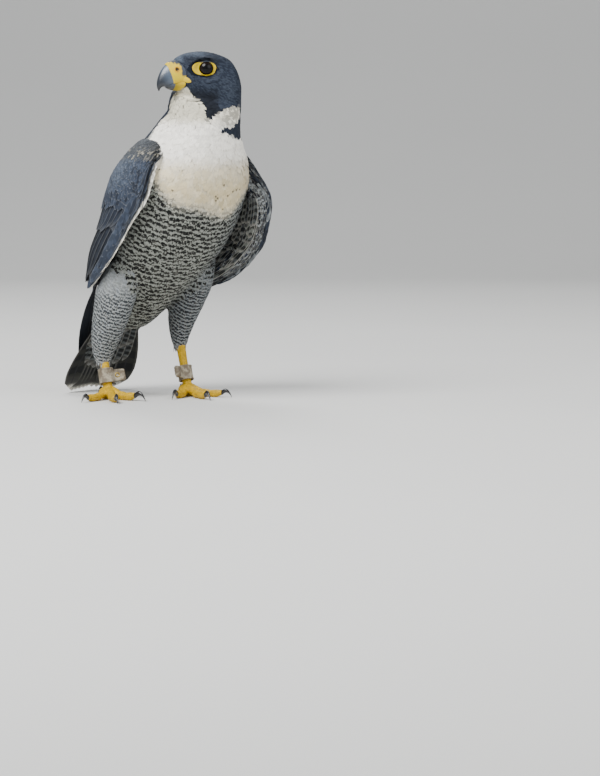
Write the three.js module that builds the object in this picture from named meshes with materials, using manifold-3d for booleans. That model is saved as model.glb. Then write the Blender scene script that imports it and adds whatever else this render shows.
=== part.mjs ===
// Peregrine falcon at life size, standing on the floor with its head turned over its right shoulder.
// Millimetres, +Z up. The breast faces -Y and the bird's left side is +X.

import * as THREE from "three";
import { mergeVertices } from "three/addons/utils/BufferGeometryUtils.js";
import Module from "manifold-3d";

const wasm = await Module();
wasm.setup();

// Gap between neighbouring pieces, and the thickness of a vane and of the air between two vanes.
const GAP = 0.3;
const VANE = 0.55;
const AIR = 0.3;

// Where the centre of the model's box stands in the bird's own frame, so that the origin is under it.
const BOX_CENTRE = { x: -8.8, y: -26.4 };

// The trunk from under the head to the vent: centre y and z, half width, depth in front and behind.
const TRUNK = [
  [-104, 303, 35.5, 35.5, 35],
  [-101, 291, 36.5, 36, 37],
  [-99, 279, 38, 37, 38],
  [-89, 258, 49, 44, 43],
  [-75, 231, 64, 54, 49],
  [-61, 204, 66, 57, 49],
  [-45, 175, 63, 53, 47],
  [-26, 146, 55, 44, 43],
  [-8, 120, 41, 34, 37],
  [9, 98, 32, 26, 29],
  [21, 80, 23, 17, 20],
  [27, 71, 12, 8, 10],
];

// The head along its own forward axis: forward, top, bottom and half width.
const HEAD = [
  [-33.5, 303, 292, 5],
  [-31, 315, 287, 13],
  [-27, 328.5, 284, 19.5],
  [-20, 339.5, 282, 24],
  [-9, 344.5, 284, 25.5],
  [4, 347.2, 288, 25.5],
  [16, 347.3, 294, 23],
  [26, 345.5, 302, 17.5],
  [32, 343, 307, 11.5],
  [37, 340.2, 309.5, 7.5],
  [41, 336.8, 312, 4],
];
const HEAD_AT = { x: 0, y: -107 };
const HEAD_TURN = 105;
const HEAD_SQUARE = 2.4;

const rad = THREE.MathUtils.degToRad;
const mix = THREE.MathUtils.lerp;
const step = THREE.MathUtils.smoothstep;
const point = (x, y, z) => new THREE.Vector3(x, y, z);

// A smooth curve through the rows of a table, read at s rows from its start.
function along(rows, s) {
  const last = rows.length - 1;
  const i = Math.min(Math.max(Math.floor(s), 0), last - 1);
  const t = s - i;
  const row = (k) => rows[Math.min(Math.max(k, 0), last)];
  return rows[i].map((_, c) => {
    const [a, b, d, e] = [row(i - 1)[c], row(i)[c], row(i + 1)[c], row(i + 2)[c]];
    const bend = 2 * a - 5 * b + 4 * d - e;
    const twist = 3 * (b - d) + e - a;
    return b + 0.5 * t * (d - a + t * (bend + t * twist));
  });
}

// A closed geometry from points and faces, with its faces turned to point outwards.
function closed(points, faces) {
  let volume = 0;
  for (let i = 0; i < faces.length; i += 3) {
    const [a, b, c] = [0, 1, 2].map((k) => points[faces[i + k]]);
    volume += a.dot(b.clone().cross(c));
  }
  if (volume < 0) faces.reverse();
  const geometry = new THREE.BufferGeometry();
  const numbers = points.flatMap((p) => p.toArray());
  geometry.setAttribute("position", new THREE.Float32BufferAttribute(numbers, 3));
  geometry.setIndex(faces);
  return geometry;
}

// A skin over rings of points, each with as many points, closed at both ends.
function skin(rings) {
  const n = rings[0].length;
  const points = rings.flat();
  const faces = [];
  for (let r = 0; r + 1 < rings.length; r++)
    for (let i = 0; i < n; i++) {
      const a = r * n + i;
      const b = r * n + ((i + 1) % n);
      faces.push(a, b, b + n, a, b + n, a + n);
    }
  const cap = (first, turned) => {
    const centre = point(0, 0, 0);
    for (let i = 0; i < n; i++) centre.addScaledVector(points[first + i], 1 / n);
    points.push(centre);
    const c = points.length - 1;
    for (let i = 0; i < n; i++) {
      const a = first + i;
      const b = first + ((i + 1) % n);
      faces.push(...(turned ? [b, a, c] : [a, b, c]));
    }
  };
  cap(0, true);
  cap((rings.length - 1) * n, false);
  return closed(points, faces);
}

// A plate between two grids of points, split into triangles alike on both faces.
function plate(top, bottom) {
  const rows = top.length;
  const columns = top[0].length;
  const points = [...top.flat(), ...bottom.flat()];
  const under = rows * columns;
  const faces = [];
  const at = (r, c) => r * columns + c;
  for (let r = 0; r + 1 < rows; r++)
    for (let c = 0; c + 1 < columns; c++) {
      const [a, b, d, e] = [at(r, c), at(r, c + 1), at(r + 1, c + 1), at(r + 1, c)];
      faces.push(a, b, d, a, d, e);
      faces.push(a + under, d + under, b + under, a + under, e + under, d + under);
    }
  const rim = [];
  for (let c = 0; c + 1 < columns; c++) rim.push(at(0, c));
  for (let r = 0; r + 1 < rows; r++) rim.push(at(r, columns - 1));
  for (let c = columns - 1; c > 0; c--) rim.push(at(rows - 1, c));
  for (let r = rows - 1; r > 0; r--) rim.push(at(r, 0));
  rim.forEach((a, i) => {
    const b = rim[(i + 1) % rim.length];
    faces.push(a, a + under, b, b, a + under, b + under);
  });
  return closed(points, faces);
}

// A geometry as a solid for joining and cutting.
function solid(geometry) {
  const bare = geometry.clone();
  bare.deleteAttribute("normal");
  bare.deleteAttribute("uv");
  const merged = mergeVertices(bare, 1e-4);
  return new wasm.Manifold(
    new wasm.Mesh({
      numProp: 3,
      vertProperties: merged.attributes.position.array,
      triVerts: new Uint32Array(merged.index.array),
    }),
  );
}

const joined = (solids) => solids.reduce((all, next) => all.add(next));
const cutBy = (body, ...tools) => tools.reduce((left, tool) => left.subtract(tool), body);

// The largest closed body of a solid.
function largest(body) {
  return body.decompose().reduce((a, b) => (a.volume() > b.volume() ? a : b));
}

// How wide a vane is at shares of its length, from the root to the tip.
const VANE_SHAPE = [[0, 0.6], [0.35, 0.95], [0.7, 1], [0.88, 0.8], [1, 0.14]];

// A thin feather vane with rows at the given stations along it. Its place tells where a station and
// a share of its half width are.
function vane(stations, place) {
  const root = stations[0];
  const run = stations.at(-1) - root;
  const rows = (sunk) => stations.map((u) => {
    const wide = between(VANE_SHAPE, (u - root) / run);
    return [-wide, 0, wide].map((x) => place(u, x, sunk));
  });
  return solid(plate(rows(0), rows(VANE)));
}

// Stations that neighbouring vanes share, and two at the vane's own tip.
function stations(root, tip, pitch, blunt) {
  const all = [];
  for (let u = root; u < tip - 1.6 * blunt; u += pitch) all.push(u);
  return [...all, tip - blunt, tip];
}

// A value read from rows of place and value, straight between them.
function between(rows, at) {
  const next = rows.findIndex(([place]) => place > at);
  if (next === 0) return rows[0][1];
  if (next < 0) return rows.at(-1)[1];
  const [[a, low], [b, high]] = [rows[next - 1], rows[next]];
  return mix(low, high, (at - a) / (b - a));
}

// A box between two corners, as a cutting tool.
function box(low, high) {
  const size = high.clone().sub(low);
  const middle = high.clone().add(low).multiplyScalar(0.5);
  const geometry = new THREE.BoxGeometry(size.x, size.y, size.z);
  return solid(geometry.translate(middle.x, middle.y, middle.z));
}

// A ball stretched to three radii.
function ball(centre, radii, sides = 12) {
  const geometry = new THREE.SphereGeometry(1, sides, Math.round(sides * 0.6));
  geometry.scale(radii.x, radii.y, radii.z).translate(centre.x, centre.y, centre.z);
  return geometry;
}

// A point of the trunk or its cover, s rows down the spine and phi radians round from the breast.
function around(rows, s, phi, grow = 0, side = 1) {
  const [y, z, width, front, back] = along(rows, s);
  const [y1, z1] = along(rows, s + 0.05);
  const [y0, z0] = along(rows, s - 0.05);
  const run = Math.hypot(y1 - y0, z1 - z0);
  const forward = { y: (z1 - z0) / run, z: -(y1 - y0) / run };
  const depth = (Math.cos(phi) > 0 ? front : back) + grow;
  const reach = depth * Math.cos(phi);
  const x = side * (width + grow) * Math.sin(phi);
  return point(x, y + forward.y * reach, z + forward.z * reach);
}

const TRUNK_SIDES = 20;
const TRUNK_RINGS = 14;

function trunk(grow = 0) {
  const rings = [];
  for (let r = 0; r <= TRUNK_RINGS; r++) {
    const s = ((TRUNK.length - 1) * r) / TRUNK_RINGS;
    const ring = [];
    for (let i = 0; i < TRUNK_SIDES; i++)
      ring.push(around(TRUNK, s, (2 * Math.PI * i) / TRUNK_SIDES, grow));
    rings.push(ring);
  }
  return solid(skin(rings));
}

// A point given in the head's own directions: forward, to its left, and the height above the floor.
const FACING = point(-Math.sin(rad(HEAD_TURN)), -Math.cos(rad(HEAD_TURN)), 0);
const HEAD_LEFT = point(-FACING.y, FACING.x, 0);

function headPoint(forward, left, height) {
  return point(HEAD_AT.x, HEAD_AT.y, height)
    .addScaledVector(FACING, forward)
    .addScaledVector(HEAD_LEFT, left);
}

const HEAD_SIDES = 18;
const HEAD_RINGS = 12;

// A sine or cosine drawn towards the corners, for a section squarer than an ellipse.
const squared = (value) => Math.sign(value) * Math.abs(value) ** (2 / HEAD_SQUARE);

function headShell(grow = 0) {
  const rings = [];
  for (let r = 0; r <= HEAD_RINGS; r++) {
    const s = ((HEAD.length - 1) * r) / HEAD_RINGS;
    const [forward, top, bottom, width] = along(HEAD, s);
    const end = r === 0 ? -grow : r === HEAD_RINGS ? grow : 0;
    const middle = (top + bottom) / 2;
    const ring = [];
    for (let i = 0; i < HEAD_SIDES; i++) {
      const a = (2 * Math.PI * i) / HEAD_SIDES;
      const left = (width + grow) * squared(Math.sin(a));
      const height = middle + ((top - bottom) / 2 + grow) * squared(Math.cos(a));
      ring.push(headPoint(forward + end, left, height));
    }
    rings.push(ring);
  }
  return solid(skin(rings));
}

// The eye: where its globe stands in the head and its radius.
const EYE = { forward: 9.4, left: 14.9, height: 330, radius: 8 };

function eyeBall(side, grow = 0) {
  const r = EYE.radius + grow;
  const centre = headPoint(EYE.forward, side * EYE.left, EYE.height);
  return solid(ball(centre, point(r, r, r), 12));
}

// A long hollow or pad on the side of the face, turned with the cheek.
const CHEEK_TURN = 17;

function almond(side, place, radii, grow = 0) {
  const geometry = ball(point(0, 0, 0), radii.clone().addScalar(grow), 12);
  geometry.rotateZ(rad(90 - HEAD_TURN - side * CHEEK_TURN));
  const centre = headPoint(place.forward, side * place.left, place.height);
  return solid(geometry.translate(centre.x, centre.y, centre.z));
}

const ORBIT = { forward: 12, left: 26.9, height: 329.6, radii: point(19, 10.6, 12.5) };
const LID = { forward: 12.2, left: 15.9, height: 329.6, radii: point(13.4, 4.2, 9.6) };

// A bony brow over the eye.
function brow(side) {
  const rows = [
    [-3, 21.5, 338.6, 1.4],
    [4, 21.2, 339.4, 2.6],
    [12, 20, 339.4, 3],
    [20, 17, 338.6, 2.7],
    [28, 12.6, 336.6, 1.3],
  ];
  return solid(
    skin(
      rows.map(([forward, left, height, r]) => {
        const ring = [];
        for (let i = 0; i < 6; i++) {
          const a = (2 * Math.PI * i) / 6;
          ring.push(headPoint(forward, side * (left + r * Math.sin(a)), height + r * Math.cos(a)));
        }
        return ring;
      }),
    ),
  );
}

// The beak: forward and height of the ridge, forward and height of the cutting edge, half width.
const UPPER_BEAK = [
  [29, 339, 25, 318.6, 13],
  [37, 338, 31.5, 317.2, 10.8],
  [43, 335.6, 37.5, 316, 8.9],
  [48, 331.3, 42, 315, 7.2],
  [52, 325.3, 46, 313.2, 5.6],
  [54.6, 318, 49.8, 312.4, 3.8],
  [54.9, 312.3, 52, 310.2, 1.9],
  [53.4, 307.8, 52.6, 308.2, 0.8],
];
const LOWER_BEAK = [
  [24, 319.4, 25, 309, 12.6],
  [32, 317.8, 33, 308.4, 10],
  [39, 316.6, 39.5, 308.8, 7.4],
  [44.5, 315, 44.5, 310.2, 4.6],
  [46.8, 313.4, 46.6, 311.6, 2.2],
];
const BEAK_SIDES = 12;
const BEAK_RINGS = 9;

// The beak's sections are flat where the jaws meet: below the upper one, above the lower one.
function beak(rows, flat, grow = 0) {
  const rings = [];
  for (let r = 0; r <= BEAK_RINGS; r++) {
    const s = ((rows.length - 1) * r) / BEAK_RINGS;
    const [f0, z0, f1, z1, width] = along(rows, s);
    const end = r === 0 ? -grow : r === BEAK_RINGS ? grow : 0;
    const ring = [];
    for (let i = 0; i < BEAK_SIDES; i++) {
      const a = (2 * Math.PI * i) / BEAK_SIDES;
      const away = Math.cos(a) * flat;
      const share = Math.max(0, (away + 0.55) / 1.55);
      const rise = flat > 0 ? share : 1 - share;
      const left = (width + grow) * Math.sin(a) * (1 - 0.22 * away);
      const height = mix(z1, z0, rise) + grow * Math.sign(Math.cos(a));
      ring.push(headPoint(mix(f1, f0, rise) + end, left, height));
    }
    rings.push(ring);
  }
  return solid(skin(rings));
}

// Everything in front of a slanting line across the beak, from the ridge to the cutting edge.
const CERE_EDGE = { forward: 45.8, height: 333, lean: 25 };

function aheadOf(edge, offset) {
  const geometry = new THREE.BoxGeometry(60, 60, 120);
  geometry.translate(0, -30 - offset, 0);
  geometry.rotateX(rad(edge.lean));
  geometry.rotateZ(-rad(HEAD_TURN));
  const at = headPoint(edge.forward, 0, edge.height);
  return solid(geometry.translate(at.x, at.y, at.z));
}

function nostril(side) {
  const centre = headPoint(37.5, side * 8.6, 329);
  return solid(ball(centre, point(1.5, 1.5, 1.5), 6));
}

// The folded wing in level cuts: height, then x and y of its lower edge, side, shoulder and back edge.
const WING = [
  [262, 50, -93, 54, -80, 47, -62, 34, -55],
  [248, 63, -98, 67, -73, 55, -48, 30, -43],
  [228, 71, -97, 77, -58, 60, -34, 26, -29],
  [204, 75, -91, 79, -50, 59, -16, 22, -13],
  [178, 76, -72, 78, -33, 54, 0, 18, 5],
  [150, 73, -47, 73.5, -8, 44.5, 22.5, 13, 26],
  [122, 64, -8, 59, 19.5, 34.5, 38.5, 9, 42],
  [95, 52, 29, 46, 45.5, 27, 55.5, 7, 57],
  [65, 41, 57, 35.5, 67.5, 21, 72.5, 5, 73],
  [38, 33, 72, 27.5, 80.5, 16, 85, 4, 86],
  [14, 25, 84, 19.5, 89.5, 11, 93, 3, 94],
];

// How far the left wing's lower edge hangs forwards of the right one's, in the same cuts.
const DROOP = [[-20], [-16], [-2], [20], [35], [46], [50], [11], [0], [0], [0]];

// A point on the wing's outer face: u from the wrist to the tip, v from the lower to the back edge.
function wingFace(u, v, side) {
  const s = u * (WING.length - 1);
  const [z, ...flat] = along(WING, s);
  const hang = side > 0 ? along(DROOP, s)[0] : 0;
  const cut = [0, 1, 2, 3].map((k) => [flat[2 * k], flat[2 * k + 1] - hang * (1 - k / 3) ** 2]);
  const [x, y] = along(cut, 3 * v);
  return point(side * x, y, z);
}

// The same point sunk below the face.
function wingPoint(u, v, depth, side) {
  const d = 0.01;
  const across = wingFace(u, v + d, side).sub(wingFace(u, v - d, side));
  const down = wingFace(u + d, v, side).sub(wingFace(u - d, v, side));
  const inwards = across.cross(down).normalize().multiplyScalar(side);
  return wingFace(u, v, side).addScaledVector(inwards, depth);
}

// How far it is across the wing at u.
function wingWidth(u, side) {
  const steps = 8;
  let width = 0;
  for (let i = 0; i < steps; i++) {
    const a = wingFace(u, i / steps, side);
    width += a.distanceTo(wingFace(u, (i + 1) / steps, side));
  }
  return width;
}

// Even steps from 0 to 1, with one more beyond each end for a piece that is grown.
function steps(count, beyond) {
  const even = Array.from({ length: count }, (_, i) => i / (count - 1));
  return beyond > 0 ? [-beyond, ...even, 1 + beyond] : even;
}

// The plain wing: a plate that thins from the wrist to the tip.
function plainWing(side, grow = 0) {
  const face = (u, v, sunk) => {
    const width = wingWidth(u, side);
    const thick = mix(19, 2.2, step(u, 0.2, 0.7)) * (u < 0.06 ? 0.75 : 1);
    const edge = Math.max(0, Math.min(v, 1 - v)) * width;
    const round = 4 * (1 - Math.min(1, Math.max(0, u) / 0.08)) ** 2;
    const drop = 0.2 * thick * Math.max(0, 1 - edge / 9) ** 2 + round;
    const depth = sunk ? thick + drop * 0.2 + grow : drop - grow;
    return wingPoint(u, v, depth, side);
  };
  const us = steps(17, grow * 0.005);
  const vs = steps(8, grow * 0.015);
  const top = us.map((u) => vs.map((v) => face(u, v, false)));
  const bottom = us.map((u) => vs.map((v) => face(u, v, true)));
  return solid(plate(top, bottom));
}

// The tiers of the folded wing: places across it from the first vane on, from where to where along
// it, and how deep the shallow edges lie. Each vane's upper web dips below the next vane.
const TIERS = {
  median: { count: 6, first: 0.12, pitch: 0.105, half: 0.093, root: 0.13, tips: [0.3, 0.31] },
  greater: { count: 7, first: 0.12, pitch: 0.092, half: 0.083, root: 0.21, tips: [0.42, 0.43] },
  secondary: { count: 10, first: 0.2, pitch: 0.073, half: 0.088, root: 0.28, tips: [0.6, 0.66] },
  handCovert: { count: 3, first: 0.004, pitch: 0.04, half: 0.037, root: 0.28, tips: [0.48, 0.52] },
  scapular: { count: 3, first: 0.84, pitch: 0.08, half: 0.07, root: 0.1, tips: [0.4, 0.43] },
};
const DEPTH = { median: 0.3, greater: 2.7, secondary: 5.2, handCovert: 5.2, scapular: 0.3 };
const DIP = { median: 1.6, greater: 1.6, secondary: 2.1, handCovert: 1.8, scapular: 1.6 };
const TIER_PITCH = 0.095;

// The flight feathers of the hand: how far apart and how wide in mm, and where their tips end.
const QUILLS = { first: 8.5, pitch: 3.6, half: 6.6, dip: 4.9, root: 0.365, depth: 8.8, stations: 0.12 };
const HAND = { low: 0.02, reach: 46, from: 0.36, to: 0.45, outer: 0.4, inner: 5 };
const QUILL_TIPS = [0.97, 1, 0.965, 0.925, 0.88, 0.835, 0.79, 0.75, 0.71, 0.68];

// The layers under a tier that has ended rise towards the face by this much.
const RISE = { from: 0.31, reach: 0.3, most: 7.6 };
const rising = (u) => RISE.most * (1 - Math.exp(-Math.max(0, u - RISE.from) / RISE.reach));

// The plates in which the vanes are rooted, between an outer and an inner depth.
const ARM_OUTER = [[0.02, 1], [0.13, 0.8], [0.17, 1.3], [0.2, 2.9], [0.26, 3.4], [0.29, 5.4], [0.46, 5.4]];
const ARM_INNER = [[0, 14], [0.06, 19], [0.2, 19], [0.3, 16], [0.46, 10]];
const ARM = { end: 0.46, roomFrom: 0.335, roomEdge: 0.52 };

function tier(side, name) {
  const { count, first, pitch, half, root, tips } = TIERS[name];
  const vanes = [];
  for (let i = 0; i < count; i++) {
    const rows = stations(root, mix(...tips, i / (count - 1)), TIER_PITCH, 0.03);
    vanes.push(vane(rows, (u, x, sunk) => {
      const deep = DEPTH[name] + (DIP[name] * (x + 1)) / 2 - rising(u) + sunk;
      return wingPoint(u, first + i * pitch + x * half, deep, side);
    }));
  }
  return vanes;
}

// A plate along the wing between two depths, from one place to another.
function wingPlate(side, from, to, outer, inner, low = 0.01, high = 0.99) {
  const us = steps(7, 0).map((t) => mix(from, to, t));
  const vs = steps(5, 0).map((t) => mix(low, high, t));
  const edge = (v) => 1 - Math.min(1, (Math.min(v, 1 - v) + 0.01) / 0.07);
  const face = (depth, push) => us.map((u) => vs.map((v) => {
    return wingPoint(u, v, depth(u) + push * edge(v) ** 2, side);
  }));
  return solid(plate(face(outer, 3), face(inner, 0)));
}

function armWing(side) {
  const outer = (u) => between(ARM_OUTER, u);
  const core = wingPlate(side, 0, ARM.end, outer, (u) => between(ARM_INNER, u));
  const handRoom = wingPlate(side, ARM.roomFrom, 0.6, () => 4, () => 32, -0.1, ARM.roomEdge);
  const vanes = Object.keys(TIERS).flatMap((name) => tier(side, name));
  return joined([cutBy(core, handRoom), ...vanes]);
}

// A point of the folded hand, whose level cuts are straight: mm up from the lower edge, and depth.
function handPoint(u, up, depth, side) {
  const width = wingWidth(u, side);
  const chord = (at) => {
    const low = wingPoint(at, HAND.low, 0, side);
    return [low, wingPoint(at, Math.min(0.95, HAND.reach / width), 0, side).sub(low).normalize()];
  };
  const [low, across] = chord(u);
  const down = chord(u + 0.01)[0].sub(chord(u - 0.01)[0]);
  const inwards = across.clone().cross(down).normalize().multiplyScalar(side);
  return low.addScaledVector(across, up).addScaledVector(inwards, depth - rising(u));
}

function handWing(side) {
  const us = steps(3, 0).map((t) => mix(HAND.from, HAND.to, t));
  const ups = steps(3, 0).map((t) => mix(3, HAND.reach - 2, t));
  const face = (more) => us.map((u) => ups.map((up) => {
    return handPoint(u, up, QUILLS.depth + more, side);
  }));
  const core = solid(plate(face(HAND.outer), face(HAND.inner)));
  const vanes = QUILL_TIPS.map((tip, i) => {
    return vane(stations(QUILLS.root, tip, QUILLS.stations, 0.035), (u, x, sunk) => {
      const up = QUILLS.first + i * QUILLS.pitch + x * QUILLS.half;
      return handPoint(u, up, QUILLS.depth + (QUILLS.dip * (x + 1)) / 2 + sunk, side);
    });
  });
  return joined([core, ...vanes]);
}

// The room that the folded hand takes up, for cutting what lies beside it.
function handRoom(side) {
  const us = steps(11, 0).map((t) => mix(0.33, 1.02, t));
  const taper = (u) => 50 - 90 * Math.max(0, u - 0.68);
  const deepest = QUILLS.depth + QUILLS.dip + VANE + 14 * GAP;
  const face = (depth) => us.map((u) => [0, 0.33, 0.67, 1].map((t) => {
    return handPoint(u, mix(-1, taper(u), t), depth, side);
  }));
  return solid(plate(face(QUILLS.depth - 2), face(deepest)));
}

// The tail: a flat fan, u from the root inside the rump to the tip.
const TAIL = { y: 16, z: 129.3, length: 143.5, lean: 29, sag: 0.0022 };

function tailPoint(u, across, rise) {
  const lean = rad(TAIL.lean);
  const back = point(0, Math.cos(lean), Math.sin(lean));
  const down = point(0, Math.sin(lean), -Math.cos(lean));
  const at = point(across, TAIL.y, TAIL.z).addScaledVector(down, u * TAIL.length);
  return at.addScaledVector(back, rise - TAIL.sag * across ** 2);
}

// The twelve tail feathers: the middle pair lies on top, the outer ones below it.
const RECTRIX = { pairs: 6, spread: 6, half: 12, drop: VANE + AIR, outerShort: 0.03 };

// The short feathers over and under the root of the tail: places across, height, and tips.
const TAIL_COVERTS = [
  { places: [-8, 0, 8], half: 7, rise: 1.2, root: 0.1, tip: 0.42 },
  { places: [-9, 0, 9], half: 7, rise: -6.4, root: 0.2, tip: 0.56 },
];

function rectrix(side, i) {
  const tip = i === RECTRIX.pairs ? 1 - RECTRIX.outerShort : 1;
  const rank = i === 1 && side < 0 ? 0 : i;
  return vane(stations(0.1, tip, 0.44, 0.05), (u, x, sunk) => {
    const spread = mix(0.3, 1, step(u, 0.15, 0.75));
    const across = ((i - 0.5) * RECTRIX.spread + x * RECTRIX.half) * spread;
    const inner = i === 1 ? across : Math.max(across, AIR);
    return tailPoint(u, side * inner, -rank * RECTRIX.drop - sunk);
  });
}

function tailFan() {
  const vanes = [];
  for (let i = 1; i <= RECTRIX.pairs; i++) vanes.push(rectrix(1, i), rectrix(-1, i));
  TAIL_COVERTS.forEach(({ places, half, rise, root, tip }) => {
    places.forEach((place, k) => {
      const lift = rise + (VANE + AIR) * (k % 2) * Math.sign(rise);
      const rows = stations(root, tip, 0.15, 0.05);
      vanes.push(vane(rows, (u, x, sunk) => tailPoint(u, place + half * x, lift - sunk)));
    });
  });
  const rows = [0, 0.16, 0.32, 0.48];
  const face = (rise, end) => rows.map((u) => [-1, 0, 1].map((k) => {
    return tailPoint(u, mix(14, 21, u / 0.48) * k, u > 0.4 ? end : rise);
  }));
  return joined([solid(plate(face(2, -0.3), face(-7.4, -5.6))), ...vanes]);
}

// The feathered thighs: centre x, y, z and half widths along x and y.
const THIGH = {
  right: [
    [-40, -24, 140, 17, 24],
    [-43, -15, 115, 18.5, 25],
    [-45.5, -9, 90, 17.5, 22.5],
    [-47.5, -2, 66, 14.5, 18],
    [-48.5, 3, 47, 10.5, 12],
    [-48.5, 4, 36, 6.8, 7.4],
  ],
  left: [
    [38, -38, 140, 17, 24],
    [40, -30, 115, 18, 24],
    [38.5, -22, 94, 16.5, 20.5],
    [36.5, -17, 76, 13, 15.5],
    [35.2, -15, 60, 9, 10.5],
    [35, -15, 50, 6.4, 7],
  ],
};

function oval(x, y, z, a, b, sides) {
  const ring = [];
  for (let i = 0; i < sides; i++) {
    const t = (2 * Math.PI * i) / sides;
    ring.push(point(x + a * Math.cos(t), y + b * Math.sin(t), z));
  }
  return ring;
}

function thigh(rows, grow = 0) {
  const rings = [];
  const count = 8;
  for (let r = 0; r <= count; r++) {
    const [x, y, z, a, b] = along(rows, ((rows.length - 1) * r) / count);
    const end = r === count ? -grow : 0;
    rings.push(oval(x, y, z + end, a + grow, b + grow, 12));
  }
  return solid(skin(rings));
}

// Each foot: where its hub stands, the heel end of the shank, and the way the middle toe points.
const FOOT = {
  right: { x: -50.5, y: -8, heel: point(-48.5, 4, 46), turn: 28, side: -1 },
  left: { x: 31.5, y: -33, heel: point(35, -14.5, 57), turn: 16, side: 1 },
};
const HUB = { height: 6.4, width: 10.5, rise: 6.8 };
const SHANK = { thin: 4, thick: 4.7 };

// The toes: degrees outwards from the middle toe, length, thickness at the root, and claw length.
const TOES = [
  { name: "middle", swing: 0, length: 46, thick: 4.7, claw: 15 },
  { name: "inner", swing: -42, length: 34, thick: 4.8, claw: 16 },
  { name: "outer", swing: 42, length: 38, thick: 4.4, claw: 13 },
  { name: "hind", swing: 172, length: 22, thick: 4.8, claw: 18 },
];

function shank(foot, grow = 0) {
  const base = point(foot.x, foot.y, HUB.height);
  const rings = [];
  const count = 4;
  for (let r = 0; r <= count; r++) {
    const t = r / count;
    const at = foot.heel.clone().lerp(base, t);
    const swell = 1 + 0.22 * (2 * t - 1) ** 2;
    rings.push(oval(at.x, at.y, at.z, SHANK.thin * swell + grow, SHANK.thick * swell + grow, 10));
  }
  return solid(skin(rings));
}

function hub(foot, grow = 0) {
  const r = point(HUB.width, HUB.width * 0.95, HUB.rise);
  r.addScalar(grow);
  return solid(ball(point(foot.x, foot.y, HUB.height), r, 12));
}

// The direction in which a toe points on the floor.
function toeWay(foot, toe) {
  const angle = rad(-foot.turn + foot.side * toe.swing);
  return point(Math.sin(angle), -Math.cos(angle), 0);
}

// A toe's pads: share of its length, height of its middle and radius, both for a toe of thickness 1.
const TOE_SHAPE = [
  [0, 1.75, 1],
  [0.17, 1.35, 0.98],
  [0.32, 1.0, 0.84],
  [0.46, 0.82, 0.98],
  [0.6, 0.8, 0.8],
  [0.76, 0.77, 0.94],
  [0.9, 0.95, 0.76],
  [1, 1.1, 0.58],
];

function toeBody(foot, toe, grow = 0) {
  const way = toeWay(foot, toe);
  const across = point(-way.y, way.x, 0);
  const rings = TOE_SHAPE.map(([share, height, radius]) => {
    const start = 5;
    const at = point(foot.x, foot.y, height * toe.thick);
    at.addScaledVector(way, start + share * (toe.length - start));
    const r = radius * toe.thick;
    const ring = [];
    for (let i = 0; i < 8; i++) {
      const a = (2 * Math.PI * i) / 8;
      const p = at.clone().addScaledVector(across, (r + grow) * Math.sin(a));
      p.z += (r * 0.95 + grow) * Math.cos(a);
      ring.push(p);
    }
    return ring;
  });
  return solid(skin(rings));
}

// A claw's arc: share of its length forward, height over the toe's end, and radius as a share.
const CLAW_SHAPE = [
  [0, 0, 1],
  [0.3, 0.16, 0.88],
  [0.62, 0.1, 0.62],
  [0.88, -0.12, 0.36],
  [1, -0.3, 0.1],
];

function clawBody(foot, toe) {
  const way = toeWay(foot, toe);
  const across = point(-way.y, way.x, 0);
  const [, high, radius] = TOE_SHAPE.at(-1);
  const base = toe.thick * radius * 0.95;
  const start = point(foot.x, foot.y, high * toe.thick).addScaledVector(way, toe.length + GAP);
  const drop = (start.z - 0.4) / -CLAW_SHAPE.at(-1)[1];
  const rings = CLAW_SHAPE.map(([share, rise, thin]) => {
    const lift = rise * (rise > 0 ? toe.claw : drop);
    const at = start.clone().addScaledVector(way, share * toe.claw * 0.82);
    at.z += lift;
    const r = base * thin;
    const ring = [];
    for (let i = 0; i < 6; i++) {
      const a = (2 * Math.PI * i) / 6;
      const p = at.clone().addScaledVector(across, r * 0.8 * Math.sin(a));
      const tilt = r * Math.cos(a);
      p.z += tilt;
      ring.push(p);
    }
    return ring;
  });
  return solid(skin(rings));
}

// The leather anklet: a cuff round the shank, its two ends pressed together and a knot on them.
const CUFF = { height: 15, inner: 6.1, thick: 1.5, above: 15.5, tab: 9, knot: 5.2 };

function anklet(foot) {
  const base = point(foot.x, foot.y, HUB.height);
  const rise = foot.heel.clone().sub(base).normalize();
  const outline = [
    [CUFF.inner, 0],
    [CUFF.inner + CUFF.thick * 1.15, 0.2],
    [CUFF.inner + CUFF.thick, CUFF.height / 2],
    [CUFF.inner + CUFF.thick * 1.3, CUFF.height - 0.2],
    [CUFF.inner + 0.3, CUFF.height],
    [CUFF.inner, 0],
  ].map(([r, z]) => new THREE.Vector2(r, z));
  const ring = new THREE.LatheGeometry(outline, 14).rotateX(Math.PI / 2);
  const at = base.clone().addScaledVector(rise, (CUFF.above - HUB.height) / rise.z);
  const lean = new THREE.Quaternion().setFromUnitVectors(point(0, 0, 1), rise);
  ring.applyQuaternion(lean).translate(at.x, at.y, at.z);
  const inwards = point(-foot.side * 0.9, -0.44, 0).normalize();
  const middle = at.clone().addScaledVector(rise, CUFF.height / 2);
  const tab = new THREE.BoxGeometry(CUFF.tab, 3, CUFF.height * 0.8);
  tab.rotateZ(Math.atan2(inwards.y, inwards.x));
  const out = CUFF.inner + CUFF.thick * 0.6 + CUFF.tab / 2;
  const tabAt = middle.clone().addScaledVector(inwards, out);
  tab.translate(tabAt.x, tabAt.y, tabAt.z);
  const knotAt = middle.clone().addScaledVector(inwards, out + CUFF.tab / 2 + 1);
  const knot = ball(knotAt, point(CUFF.knot, CUFF.knot * 0.9, CUFF.knot * 1.5), 8);
  return joined([solid(ring), solid(tab), solid(knot)]);
}

// Materials
function finish(colour, roughness, metalness = 0) {
  return new THREE.MeshStandardMaterial({ color: colour, roughness, metalness });
}

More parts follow.
